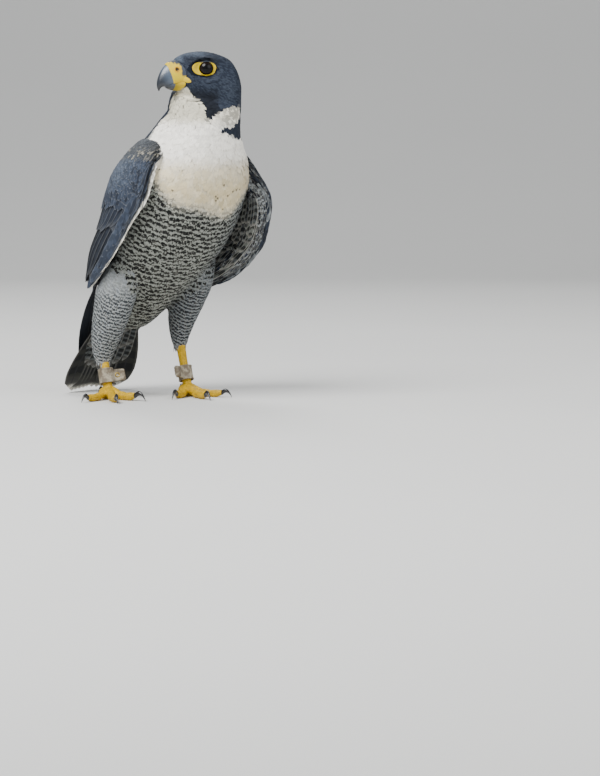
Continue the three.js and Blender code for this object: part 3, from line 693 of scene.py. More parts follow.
def brass_material():
    n = Nodes("brass")
    worn = n.noise(900, 3, n.place())
    base = n.blend(n.ramp(worn, 0.35, 0.7), rgba(linear("8d7433")), rgba(linear("c9ad62")))
    return n.finish(Base_Color=base, Roughness=0.35, Metallic=1.0)


coat_look = feather_material("plumage", 9.0, 0.0)
vane_look = feather_material("flight_feather", 60.0, 0.8)
under_look = under_material()
foot_look = skin_material("foot_skin", YELLOW, YELLOW * 0.75, 520.0, 0.6)
cere_look = skin_material("cere_skin", LEMON, np.array([0.6, 0.4, 0.005]), 2100.0, 0.15)
horn_look = horn_material("bill_horn", 0.34)
claw_look = horn_material("claw_horn", 0.25)
eye_look = eye_material()
leather_look = leather_material()
brass_look = brass_material()


# Markings: what a feather rooted at a place on the bird looks like

# The lower edge of the dark hood at each place forward on the head.
DARK_EDGE = np.array([
    [-40, 293],
    [-24, 293],
    [-10, 291.5],
    [0, 287.5],
    [6, 283.2],
    [11, 279.8],
    [13.6, 281.5],
    [14.2, 286],
    [15.5, 291],
    [18.2, 296],
    [21.5, 300.8],
    [25, 306],
    [29.5, 311],
    [34, 313],
    [45, 318],
], float)

# How far round from the breast the pale front reaches at each height: to the left and to the right.
PALE_REACH = np.array([
    [200, -108, 106],
    [230, -100, 108],
    [248, -78, 113],
    [256, -66, 118],
    [258.6, -58, 119],
    [259.5, -44, 119],
    [262, -31, 120],
    [264.7, -15, 121],
    [267, -3, 122],
    [269.5, 10, 122],
    [271, 1, 122],
    [273.9, -15, 122],
    [277, -28, 122],
    [281, -36, 121],
    [285, -38, 114],
    [290, -38, 112],
    [304, -38, 112],
    [310, -36, 116],
], float)


# Where the middle of the trunk lies at the height of each place.
def spine_at(p):
    return np.interp(p[..., 2], TRUNK[::-1, 1], TRUNK[::-1, 0])


# How far round from the breast a place is, in degrees to the bird's right.
def round_body(p):
    return np.degrees(np.arctan2(-p[..., 0], -(p[..., 1] - spine_at(p))))


# Lays colours over one another, each by its amount.
def paint(layers, shape):
    colour = np.zeros(shape + (3,))
    for amount, paint_colour in layers:
        colour = mix(colour, paint_colour, np.asarray(amount)[..., None])
    return colour


# Returns tone, ink, bars, spot, fringe and edge tone for places on head, neck and trunk.
def body_marks(p, draw):
    f, l, h = head_local(p)
    angle = round_body(p)
    edge = read(DARK_EDGE, f - 0.42 * np.maximum(np.abs(l) - 24, 0))
    edge = np.where((np.abs(l) < 12) & (f > -12), 311, edge)
    hood = smooth(h, edge - 1, edge + 1) * smooth(h, 276, 279)
    left_end, right_end = read(PALE_REACH, h), read(PALE_REACH, h, 2)
    on_right = smooth(angle, right_end - 3, right_end + 3)
    on_left = smooth(-angle, -left_end - 3, -left_end + 3)
    back = np.where(h > 312, 0, np.maximum(on_right, on_left))
    front = (1 - hood) * (1 - back)
    barred_from = 188 + 42 * np.clip(np.abs(angle) / 80, 0, 1.5) ** 1.6 + 3 * np.sin(angle / 9)
    low = 1 - smooth(h, barred_from - 8, barred_from + 8)
    buff = smooth(h, 266, 210) * (1 - low)
    flank = smooth(np.abs(angle - 25), 28, 80) * low
    # A painted highlight: a lighter grey-blue patch on the ear coverts of the dark hood.
    ear_highlight = np.exp(-((f + 11) ** 2) / 110 - (h - 311) ** 2 / 130)
    brow = np.exp(-((f - 12) / 14) ** 2 - ((h - 337.5) / 4) ** 2)
    tone = paint([
        (1.0, CREAM),
        (buff * (0.6 + 0.4 * draw), BUFF),
        (0.8 * smooth(h, 230, 248) * smooth(h, 284, 274), linear("fbf8f0")),
        (0.4 * buff * (draw < 0.25), linear("a39a83")),
        (low, ASH),
        (0.85 * flank, FLANK),
        (back, mix(SLATE, SLATE_PALE, 0.25)),
        (back * smooth(h, 250, 262), CAP),
        (hood, CAP),
        (0.4 * hood * (draw > 0.55), mix(CAP, SLATE_PALE, 0.3)),
        (0.18 * hood * ear_highlight * (0.4 + 0.6 * draw), SLATE_PALE),
        (0.8 * hood * smooth(h, 313, 302) * smooth(f, -4, 5), MASK),
        (0.75 * hood * brow, MASK),
        (hood * smooth(f, 0, 18) * smooth(h, 339, 344) * (0.45 + 0.55 * draw), FOREHEAD),
        (hood * smooth(f, 28, 33) * smooth(h, 334, 338), FOREHEAD),
        # The upper throat under the head is painted grey-buff: partly its own buff, partly painted shade
        # under the head.
        (0.55 * front * smooth(h, 272, 283) * smooth(f, 6, 16), linear("aeaa92")),
        (0.6 * front * smooth(h, 268, 278) * smooth(f, 10, -8) * (draw > 0.42), linear("77746a")),
    ], h.shape)
    bars = low * (1 - back) * (0.9 + 0.1 * draw)
    bars = np.maximum(bars, 0.6 * back * (1 - smooth(h, 240, 256)))
    spot = 0.75 * (draw > 0.955) * buff * front * smooth(h, 250, 225)
    fringe = 0.75 * back * (1 - smooth(h, 250, 262)) + 0.15 * low * (1 - back)
    ink = paint([(1.0, INK), (back, SLATE_DEEP)], h.shape)
    return tone, ink, bars, spot, fringe, low * (1 - back) + 0.12 * back


# The thighs: plain grey above, barred below, going over into the barred flank at their top.
def thigh_marks(p, draw):
    low = smooth(p[..., 2], 122, 98)
    top = smooth(p[..., 2], 140, 152)
    # The left thigh gets more dark flank grey and stronger bars: painted shade on the side away from the
    # light.
    left = smooth(p[..., 0], -10, 10)
    tone = paint([
        (1.0, mix(THIGH_GREY, CREAM, 0.06)),
        (0.5 * draw, ASH),
        (0.5 * left + 0.4 * top, FLANK),
    ], draw.shape)
    ink = paint([(1.0, THIGH_INK)], draw.shape)
    bars = np.clip(0.22 + 0.72 * low + 0.5 * top + 0.25 * left, 0, 1)
    return tone, ink, bars, 0 * low, 0.2 + 0 * low, 1 + 0 * low


RIGHT_EDGE = wing_point(np.linspace(0.1, 0.5, 60), 0.0, 3.0, SIDES["right"])


# The wings' front edges. The right one goes on from the barred flank to a white line, and the
# left one shows its barred under side, slate towards the wrist.
def underwing_marks(p, draw):
    right = p[..., 0] < 0
    far = np.linalg.norm(p[..., None, :] - RIGHT_EDGE, axis=-1).min(-1)
    white = np.where(right, smooth(far, 2.5, 1.5), 0) * (draw < 0.65)
    upper = smooth(p[..., 2], 198, 222)
    tone = paint([
        (1.0, np.where(right[..., None], ASH, mix(FLANK, ASH, 0.8))),
        (np.where(right, 0, 0.75 * upper), mix(SLATE, SLATE_PALE, 0.8)),
        (np.where(right, 0, 0.55 * (draw > 0.5)), linear("b4b9bb")),
        (white, WHITE_EDGE),
    ], draw.shape)
    ink = paint([(1.0, INK), (np.where(right, 0, upper), SLATE_DEEP)], draw.shape)
    bars = np.where(right, 0.95 * (1 - white), 0.85 - 0.3 * upper)
    return tone, ink, bars, 0 * draw, 0.3 + 0 * draw, 0.7 + 0 * draw


# The coat: small feathers on the skin

SPINE_WAY = np.array([0, 0.512, -0.858])

REGIONS = named("pitch length half lift strands period", {
    "face": (0.8, 3.0, 0.55, 0.4, 1, 40),
    "head": (1.05, 5.0, 0.75, 0.7, 1, 40),
    "throat": (1.9, 7.5, 1.5, 1.0, 3, 30),
    "neck": (2.3, 10, 2.0, 1.4, 3, 30),
    "trunk": (2.5, 13, 2.7, 1.7, 3, 5.9),
    "mantle": (3.2, 17, 3.9, 1.7, 3, 8.0),
    "thigh": (2.1, 11, 1.9, 1.5, 3, 3.6),
    "underwing": (2.1, 8, 2.0, 1.2, 3, 4.2),
})
# The oval round the eye where no feather grows.
EYE_CLEAR = {"ahead": 4.6, "long": 15.4, "high": 8.6}
# Feather rows: share of the length, share of the half width, share of the lift.
BROAD_ROWS = np.array([
    [0, 0.45, -0.3],
    [0.3, 0.88, 0.5],
    [0.6, 1.0, 0.8],
    [0.85, 0.78, 0.95],
    [1, 0.2, 1.0],
])
FINE_ROWS = np.array([
    [0, 0.5, -0.3],
    [0.3, 0.9, 0.5],
    [0.6, 0.95, 0.8],
    [0.84, 0.6, 0.95],
    [1, 0.07, 1.0],
])


# A search tree of the solids' own surfaces, in the bird's frame.
def node_tree(names):
    points, faces = [], []
    for name in names:
        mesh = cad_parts[name].data
        start = len(points)
        points += [Vector((np.array(v.co) / MM - SHIFT).tolist()) for v in mesh.vertices]
        faces += [[start + i for i in p.vertices] for p in mesh.polygons]
    return BVHTree.FromPolygons(points, faces)


wing_tree = node_tree(["wing_left", "wing_right", "primaries_left", "primaries_right"])
beak_tree = node_tree(["cere", "gape", "bill_upper", "bill_lower"])


# How far each place is from a body given as rings, or from an open sheet of rows.
def far_from(places, rows, closed=True):
    bm = bmesh.new()
    if closed:
        add_rings(bm, rows)
    else:
        made = [[bm.verts.new(Vector(p)) for p in row] for row in rows]
        for low, high in zip(made, made[1:]):
            for i in range(len(low) - 1):
                bm.faces.new((low[i], low[i + 1], high[i + 1], high[i]))
    tree = BVHTree.FromBMesh(bm)
    bm.free()
    return np.array([tree.find_nearest(Vector(p))[3] for p in places])


# Which region each place belongs to, as its name's number, or -1 where no feather grows.
def region_of(p):
    names = list(REGIONS)
    f, l, h = head_local(p)
    far = {"trunk": far_from(p, trunk_rings()), "head": far_from(p, head_rings())}
    for name, side in SIDES.items():
        far[f"thigh_{name}"] = far_from(p, thigh_rings(THIGH[name]))
        outer, inner = wing_bed_rows(side)
        far[f"out_{name}"] = far_from(p, outer, closed=False)
        far[f"in_{name}"] = far_from(p, inner, closed=False)
    nearest = np.array(list(far))[np.argmin(np.stack(list(far.values())), axis=0)]
    region = np.full(len(p), names.index("trunk"))
    region[h > 236] = names.index("neck")
    region[h > 264] = names.index("throat")
    region[(np.abs(round_body(p)) > 100) & (h < 262)] = names.index("mantle")
    region[nearest == "head"] = names.index("head")
    region[(nearest == "head") & (f > 16) & (h > 300)] = names.index("face")
    for name, side in SIDES.items():
        region[(nearest == f"thigh_{name}") & (h < 152)] = names.index("thigh")
        on_wing = (nearest == f"out_{name}") | (nearest == f"in_{name}")
        inner_side = far[f"in_{name}"] < far[f"out_{name}"] + 4
        region[on_wing] = np.where(inner_side[on_wing], names.index("underwing"), -1)
        along_cheek, outwards = cheek_axes(side)
        away = p - head_point(EYE["forward"], side * EYE["left"], EYE["height"])
        ahead = (away @ along_cheek) * np.sign(along_cheek @ FACING)
        oval = np.hypot((ahead - EYE_CLEAR["ahead"]) / EYE_CLEAR["long"], away[:, 2] / EYE_CLEAR["high"])
        region[(oval < 1) & (away @ outwards > 0)] = -1
    return region


# The way that feathers lie: down the trunk, and back over the head.
def flow_of(p):
    f, l, h = head_local(p)
    head_way = -FACING - 0.5 * UP
    trunk_way = SPINE_WAY + 0.12 * np.stack([np.sign(p[:, 0]), 0 * f, 0 * f], -1)
    amount = smooth(h, 262, 296)[:, None]
    return mix(trunk_way, np.broadcast_to(head_way, p.shape), amount)


AROUND = list(itertools.product((-1, 0, 1), repeat=3))


# Random places spread evenly over the skin, at least a region's pitch apart.
def scatter(region_name):
    pitch = REGIONS[region_name]["pitch"]
    corners = flesh[flesh_quads[quad_region == list(REGIONS).index(region_name)]]
    spans = np.cross(corners[:, 2] - corners[:, 0], corners[:, 3] - corners[:, 1])
    areas = np.linalg.norm(spans, axis=1) / 2
    count = int(areas.sum() / pitch**2 * 5)
    picks = rng.choice(len(corners), count, p=areas / areas.sum())
    a, b = rng.random((2, count, 1))
    c = corners[picks]
    points = mix(mix(c[:, 0], c[:, 1], a), mix(c[:, 3], c[:, 2], a), b)
    cells, kept = {}, []
    for number, p in enumerate(points):
        x, y, z = p.tolist()
        i, j, k = cell = tuple((p // pitch).astype(int))
        near = (q for di, dj, dk in AROUND for q in cells.get((i + di, j + dj, k + dk), ()))
        if all((q[0] - x) ** 2 + (q[1] - y) ** 2 + (q[2] - z) ** 2 >= pitch * pitch for q in near):
            cells.setdefault(cell, []).append((x, y, z))
            kept.append(number)
    return points[kept]


# Drops places that a wing lies over or that are at the bill.
def uncovered(points, normals, on_wing):
    keep = []
    for p, n in zip(points, normals):
        start = Vector(p + 0.3 * n)
        hit = None if on_wing else wing_tree.ray_cast(start, Vector(n), 13.0)[0]
        near_bill = beak_tree.find_nearest(start, 1.0)[0]
        keep.append(hit is None and near_bill is None)
    return np.array(keep, bool)


# The direction across feathers, from their middle lines and the normals along them.
def across_line(line, normal):
    return unit(np.cross(unit(np.gradient(line, axis=1)), normal))


# What the feather material reads of each feather. A single number stands for all of them.
def feather_looks(tone, ink, run, **marks):
    looks = {key: np.broadcast_to(np.asarray(value, float), len(tone)) for key, value in marks.items()}
    return {"tone": tone, "ink": np.broadcast_to(ink, tone.shape), "run": run, **looks}


# Builds small closed feathers from their middle line, across direction, normals and half width.
# span says which part of a whole feather's width each one takes.
def feather_mesh(name, line, across, normal, half, crown, looks, material, patch_at, span=(0.0, 1.0)):
    count, rows = half.shape
    tips = np.stack([
        line - across * half[..., None],
        line + normal * crown[..., None],
        line + across * half[..., None],
    ], axis=2)
    points = tips.reshape(-1, 3)
    base = (np.arange(count) * rows * 3)[:, None, None]
    r = np.arange(rows - 1)[None, :, None] * 3
    left, top, right = base + r, base + r + 1, base + r + 2
    quads = np.concatenate([
        np.stack([left, top, top + 3, left + 3], -1),
        np.stack([top, right, right + 3, top + 3], -1),
        np.stack([right, left, left + 3, right + 3], -1),
    ], axis=2).reshape(-1, 4)
    first = base[:, 0, 0]
    end = first + (rows - 1) * 3
    caps = np.concatenate([
        np.stack([first, first + 2, first + 1], -1),
        np.stack([end, end + 1, end + 2], -1),
    ])
    low, high = np.broadcast_to(np.asarray(span, float), (count, 2)).T
    x = low[:, None, None] + (high - low)[:, None, None] * np.array([0, 0.5, 1])
    x = np.broadcast_to(x, (count, rows, 3))
    y = np.broadcast_to(np.linspace(0, 1, rows)[None, :, None], (count, rows, 3))
    feather_uv = np.stack([x, y], -1).reshape(-1, 2)
    patch = patch_at[:, None, None, :] + 0.003 * np.stack([x - 0.5, y - 0.5], -1)
    spread = lambda values: np.repeat(values, rows * 3, axis=0)
    run = np.repeat(looks["run"].reshape(-1), 3)
    marks = np.stack([spread(looks["bars"]), run, spread(looks["fringe"])], -1)
    more = np.stack([spread(looks["spot"]), spread(looks["edge"]), spread(looks["ragged"])], -1)
    return make_mesh(
        name, points, [quads, caps], material,
        colours={"tone": spread(looks["tone"]), "ink": spread(looks["ink"])},
        vectors={"marks": marks, "more": more},
        uvs={"OFBake": patch.reshape(-1, 2), "Feather": feather_uv},
    )


MARKERS = {"thigh": thigh_marks, "underwing": underwing_marks}


# Spreads places flat by their direction from the spine and their height.
def unwrap(points):
    angle = np.arctan2(points[:, 0], points[:, 1] - spine_at(points)) / (2 * math.pi) + 0.5
    height = np.clip(points[:, 2] / 350, 0, 1)
    return np.stack([0.01 + 0.98 * angle, 0.01 + 0.98 * height], -1)


# Feathers over the right shoulder that stand puffed up: how high, and where.
PUFF = {"lift": 3.2, "angle": -62, "wide": 28, "height": 245, "tall": 15}


def coat(region_name):
    region = REGIONS[region_name]
    shape = FINE_ROWS if region["strands"] == 1 else BROAD_ROWS
    roots = scatter(region_name)
    _, normals = onto_skin(roots)
    keep = uncovered(roots, normals, region_name == "underwing")
    roots, normals = roots[keep], normals[keep]
    count = len(roots)
    draw = rng.random(count)
    size = 0.8 + 0.4 * rng.random(count)
    way = flow_of(roots) if region_name != "thigh" else np.broadcast_to([0, 0.1, -1.0], roots.shape)
    way = way + 0.14 * rng.normal(size=roots.shape)
    way = unit(way - (way * normals).sum(-1, keepdims=True) * normals)
    beside = np.cross(way, normals)
    middle = onto_skin(roots + way * (0.6 * region["length"] * size)[:, None])[0]
    tone, ink, bars, spot, fringe, edge = MARKERS.get(region_name, body_marks)(middle, draw)
    tone = tone * (0.88 + 0.24 * rng.random((count, 1)))
    jitter = (0.5 if region_name == "mantle" else 0.13) * rng.normal(size=count)
    jitter = jitter + 0.22 * np.sin(round_body(roots) * 0.5 + 1.5 * np.sin(roots[:, 2] / 11))
    lifts = region["lift"] * (0.85 + 0.3 * draw)
    sideways = (round_body(roots) - PUFF["angle"]) / PUFF["wide"]
    upwards = (roots[:, 2] - PUFF["height"]) / PUFF["tall"]
    if region_name in ("neck", "trunk", "mantle"):
        lifts = lifts + PUFF["lift"] * np.exp(-(sideways**2) - upwards**2)
    patch_at = unwrap(roots)

    # A broad feather is a fan of strands, which part at its tip.
    strands = region["strands"]
    turn = np.linspace(-1, 1, strands) if strands > 1 else np.zeros(1)
    fan = lambda values: np.repeat(values, strands, axis=0)
    k = np.tile(turn, count)
    apart = fan(region["half"] * size) * k
    share = 0.62 if strands > 1 else 1.0
    reach = fan(region["length"] * size) * (1 - 0.13 * np.abs(k))
    reach = reach * (0.93 + 0.14 * rng.random(count * strands))
    start = fan(roots) + fan(beside) * (0.3 * apart)[:, None]
    part = 0.62 * apart / reach + 0.05 * rng.normal(size=len(k))
    aim_way = unit(fan(way) + fan(beside) * part[:, None])
    aim = start[:, None] + aim_way[:, None] * (shape[None, :, 0] * reach[:, None])[..., None]
    landed, lifted = onto_skin(aim)
    rise = fan(lifts)[:, None] * shape[None, :, 2] - 0.12 * np.abs(k)[:, None]
    strides = np.linalg.norm(np.diff(landed, axis=1), axis=-1)
    leaps = (strides > 1.7 * np.diff(shape[:, 0]) * reach[:, None] + 0.5).any(1)
    upright = ((lifted[:, -1] * fan(normals)).sum(-1) > 0.2) & ~leaps
    line = landed + lifted * rise[..., None]
    across = across_line(line, lifted)
    half = share * fan(region["half"] * size)[:, None] * shape[None, :, 1]
    run = (line @ SPINE_WAY) / region["period"] + fan(jitter)[:, None]
    looks = feather_looks(
        fan(tone), fan(ink), run, bars=fan(bars), spot=fan(spot), fringe=fan(fringe),
        edge=fan(edge), ragged=0.7,
    )
    looks = {key: value[upright] for key, value in looks.items()}
    span = np.stack([0.32 + 0.32 * k, 0.68 + 0.32 * k], -1)[upright] if strands > 1 else (0.0, 1.0)
    parts = [line, across, lifted, half, 0.14 * half, fan(patch_at)]
    line, across, lifted, half, crown, patches = (part[upright] for part in parts)
    name = f"coat_{region_name}"
    return feather_mesh(name, line, across, lifted, half, crown, looks, coat_look, patches, span)


quad_region = region_of(flesh[flesh_quads].mean(1))
skin_draw = np.full(len(flesh), 0.5)
skin_tone = body_marks(flesh, skin_draw)[0]
for name, marker in MARKERS.items():
    chosen = np.zeros(len(flesh), bool)
    chosen[flesh_quads[quad_region == list(REGIONS).index(name)]] = True
    skin_tone[chosen] = marker(flesh[chosen], skin_draw[chosen])[0]
# The skin is painted at 0.7 of the plumage tone: painted shade in the gaps between the feathers.
skin = make_mesh(
    "skin", flesh, [flesh_quads], under_look,
    colours={"tone": skin_tone * 0.7},
    uvs={"OFBake": unwrap(flesh)}, sharp=180,
)
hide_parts("head", "neck", "torso", "thigh_left", "thigh_right")
SLOTS = {
    "face": "plumage_dark", "head": "plumage_dark", "throat": "plumage_pale",
    "neck": "plumage_pale", "trunk": "plumage_barred", "mantle": "plumage_slate",
    "thigh": "plumage_pale", "underwing": "plumage_slate",
}
for region_name, slot_name in SLOTS.items():
    coat(region_name)


# Long vanes: wings and tail

VANE_ROWS = 18
VANE_COLUMNS = 9
VANE_THICK = 0.35


# The share of its half width that a vane has along its length, t from 0 to 1.
def vane_width(t, pointed):
    body = mix(0.62, 1.0, smooth(t, 0, 0.35))
    start = mix(0.8, 0.55, pointed)
    fall = np.clip((t - start) / (1 - start), 0, 1)
    return body * np.sqrt(np.clip(1 - fall**mix(2.6, 1.9, pointed), 0, 1)) + 0.02


# A tier of vanes as one mesh. Each vane has a place function of its length share and width share.
def vane_mesh(name, vanes, replaces):
    points, faces, tones, inks, marks, more, feather_uv, bake_uv = ([] for _ in range(8))
    t = np.linspace(0, 1, VANE_ROWS) ** 0.9
    x = np.linspace(-1, 1, VANE_COLUMNS)
    grid_t, grid_x = np.meshgrid(t, x, indexing="ij")
    r, c = np.meshgrid(np.arange(VANE_ROWS - 1), np.arange(VANE_COLUMNS - 1), indexing="ij")
    a = (r * VANE_COLUMNS + c).reshape(-1)
    quads = np.stack([a, a + 1, a + 1 + VANE_COLUMNS, a + VANE_COLUMNS], -1)
    rim = np.concatenate([
        np.arange(VANE_COLUMNS - 1),
        np.arange(VANE_ROWS - 1) * VANE_COLUMNS + VANE_COLUMNS - 1,
        (VANE_ROWS - 1) * VANE_COLUMNS + np.arange(VANE_COLUMNS - 1, 0, -1),
        np.arange(VANE_ROWS - 1, 0, -1) * VANE_COLUMNS,
    ])
    under = VANE_ROWS * VANE_COLUMNS
    edge = np.stack([rim, rim + under, np.roll(rim, -1) + under, np.roll(rim, -1)], -1)
    every = np.concatenate([quads[:, ::-1], quads + under, edge])
    cells = math.ceil(math.sqrt(len(vanes)))
    for number, one in enumerate(vanes):
        wide = grid_x * vane_width(grid_t, one["pointed"])
        shaft = 0.28 * np.exp(-((grid_x / 0.12) ** 2)) * (1 - 0.6 * grid_t)
        top = one["place"](grid_t, wide, -shaft).reshape(-1, 3)
        bottom = one["place"](grid_t, wide, np.full(grid_t.shape, VANE_THICK)).reshape(-1, 3)
        start = len(points) * 2 * under
        points.append(np.concatenate([top, bottom]))
        faces.append(every + start)
        uv = np.stack([(grid_x + 1) / 2, grid_t], -1).reshape(-1, 2)
        feather_uv += [uv, uv]
        corner = np.array([number % cells, number // cells])
        local = (uv * [0.45, 0.9] + corner + 0.02) / cells
        bake_uv += [local, local + np.array([0.5 / cells, 0])]
        size = 2 * under
        white = smooth(grid_t.reshape(-1), 0.965, 0.985)[:, None] * ("tip" in one)
        for tone in (one["tone"], one.get("under", one["tone"])):
            tones.append(mix(tone, one.get("tip", CREAM), white))
        inks.append(np.broadcast_to(one["ink"], (size, 3)))
        run = grid_t.reshape(-1) * one["bands"] + one["phase"]
        barred = smooth(grid_t.reshape(-1), 0.05, 0.2) * (1 - white[:, 0])
        for bars in (one["bars"], one.get("under_bars", one["bars"])):
            marks.append(np.stack([bars * barred, run, np.full(under, one["fringe"])], -1))
        more.append(np.broadcast_to([0, one["edge"], 0.5], (size, 3)))
    made = make_mesh(
        name, np.concatenate(points), [np.concatenate(faces)], vane_look,
        colours={"tone": np.concatenate(tones), "ink": np.concatenate(inks)},
        vectors={"marks": np.concatenate(marks), "more": np.concatenate(more)},
        uvs={"OFBake": np.concatenate(bake_uv), "Feather": np.concatenate(feather_uv)},
        sharp=50,
    )
    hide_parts(*replaces)


# The tiers of the wing, as in the solids but finer: count, first place across, pitch, half width,
# dip under the next vane, depth of the shallow edge, root and the tips of the first and last vane.
TIERS = named("count first pitch half dip depth root tips", {
    "median": (16, 0.03, 0.05, 0.056, 1.1, 1.1, 0.14, (0.3, 0.29)),
    "greater": (17, 0.05, 0.047, 0.052, 1.1, 2.6, 0.2, (0.43, 0.42)),
    "secondary": (14, 0.14, 0.054, 0.064, 1.5, 4.1, 0.28, (0.59, 0.66)),
    "hand_covert": (5, 0.0, 0.03, 0.034, 1.2, 4.1, 0.28, (0.48, 0.54)),
})
RISE = {"from": 0.29, "reach": 0.3, "most": 5.6}
QUILLS = {"first": 8.5, "pitch": 3.6, "half": 7.2, "dip": 3.0, "root": 0.32, "depth": 6.0}
QUILL_TIPS = [0.975, 1, 0.965, 0.925, 0.88, 0.835, 0.79, 0.75, 0.71, 0.68]


def rising(u):
    return RISE["most"] * (1 - np.exp(-np.maximum(0, u - RISE["from"]) / RISE["reach"]))


def wing_look(draw, deep=0.0):
    tone = mix(mix(SLATE, SLATE_PALE, 0.3 * draw), SLATE_DEEP, deep)
    return {"tone": tone, "ink": SLATE_DEEP, "fringe": 0.5, "edge": 0.12, "phase": float(draw)}


def tier_vanes(side, name):
    tier = TIERS[name]
    vanes = []
    for i in range(tier["count"]):
        across = tier["first"] + i * tier["pitch"]
        tip = mix(*tier["tips"], i / (tier["count"] - 1)) + 0.008 * rng.normal()
        lift = 0.15 * rng.random()

        def place(t, x, sunk, across=across, tip=tip, lift=lift):
            u = mix(tier["root"], tip, t)
            depth = tier["depth"] + tier["dip"] * (x + 1) / 2 - rising(u) + sunk - lift * t
            depth = depth + 1.2 * smooth(0.25 - t, 0, 0.25)
            return wing_point(u, across + x * tier["half"], depth, side)

        look = wing_look(rng.random(), {"median": 0.3, "greater": 0.6}.get(name, 0.85))
        look.update(place=place, pointed=0.15, bands=4 if name != "secondary" else 7, bars=0.45)
        vanes.append(look)
    return vanes


# The line across the hand from which the quills fan out.
HAND = {"low": 0.02, "reach": 46}


def hand_point(u, up, depth, side):
    def chord(at):
        low = wing_point(at, HAND["low"], 0.0, side)
        reach = np.minimum(0.95, HAND["reach"] / wing_width(at, side))
        return low, unit(wing_point(at, reach, 0.0, side) - low)

    low, across = chord(u)
    down = chord(u + 0.01)[0] - chord(u - 0.01)[0]
    inwards = unit(np.cross(across, down)) * side
    return low + across * up[..., None] + inwards * (depth - rising(u))[..., None]


def quill_vanes(side):
    vanes = []
    for i, tip in enumerate(QUILL_TIPS):
        def place(t, x, sunk, i=i, tip=tip):
            u = mix(QUILLS["root"], tip, t)
            up = QUILLS["first"] + i * QUILLS["pitch"] + x * QUILLS["half"]
            depth = QUILLS["depth"] + QUILLS["dip"] * (x + 1) / 2 + sunk
            return hand_point(u, up, depth, side)

        look = wing_look(rng.random(), 0.9)
        look.update(place=place, pointed=0.8, bands=12, bars=0.3, fringe=0.35)
        if side > 0:
            look.update(under=mix(FLANK, ASH, 0.5), under_bars=0.8)
        vanes.append(look)
    return vanes


def scapular_vanes(side):
    vanes = []
    for row, (root, tip) in enumerate([(0.26, 0.45), (0.17, 0.37), (0.08, 0.27), (0.0, 0.17)]):
        for i in range(5):
            across = 0.8 + 0.055 * i

            def place(t, x, sunk, across=across, root=root, tip=tip, row=row, i=i):
                u = mix(root, tip + 0.012 * i, t)
                depth = 1.6 - 1.9 * t - 0.35 * row + 0.9 * (x + 1) / 2 + sunk
                return wing_point(u, across + x * 0.06, depth, side)

            look = wing_look(rng.random(), 0.0)
            look.update(place=place, pointed=0.1, bands=4, bars=0.5)
            vanes.append(look)
    return vanes


# The lining of the lowered left wing: rows of small barred feathers over the roots of its quills.
LINING = {"us": [0.3, 0.46, 0.6, 0.75], "depths": [15.0, 10.8, 8.8, 7.4], "pitch": 0.03}


def lining_vanes(side):
    vanes = []
    for row in range(9):
        root = 0.3 + 0.036 * row
        tip = root + 0.12
        end = 0.62 - 1.1 * max(0, tip - 0.5)
        for across in np.arange(0.02 + 0.015 * (row % 2), end, LINING["pitch"]):
            tip_here = tip + 0.01 * rng.normal()

            def place(t, x, sunk, across=across, root=root, tip=tip_here, row=row):
                u = mix(root, tip, t)
                depth = np.interp(u, LINING["us"], LINING["depths"]) + 0.25 * (8 - row)
                return wing_point(u, across + x * 0.024, depth + 0.8 * t + 0.3 * x + sunk, side)

            look = {"tone": mix(SLATE, ASH, 0.25 + 0.7 * rng.random()), "ink": INK, "fringe": 0.6}
            look.update(place=place, pointed=0.1, bands=4, bars=0.85, edge=0.8, phase=rng.random())
            vanes.append(look)
    return vanes


# The small coverts over the upper wing, in close rows from the wrist down, and along its front edge.
COVERTS = {"to": 0.27, "step": 0.011, "pitch": 0.027, "length": 0.045, "half": 2.0, "edge_to": 0.56}


def covert_places():
    places = []
    for row, u in enumerate(np.arange(0, COVERTS["edge_to"], COVERTS["step"])):
        end = 1.0 if u < COVERTS["to"] else 0.1
        for v in np.arange(-0.02 + (row % 2) * COVERTS["pitch"] / 2, end, COVERTS["pitch"]):
            places.append((u, v))
    return np.array(places)


# How far the rounded front edge falls away under the wing's outer face.
def nose_depth(u, v):
    near = np.clip(1 - v / 0.09, 0, 1)
    half = np.interp(u, WING_BED[:, 0], (WING_BED[:, 2] - WING_BED[:, 1]) / 2)
    return 0.92 * (half + 1.2) * (1 - np.sqrt(1 - near**2))


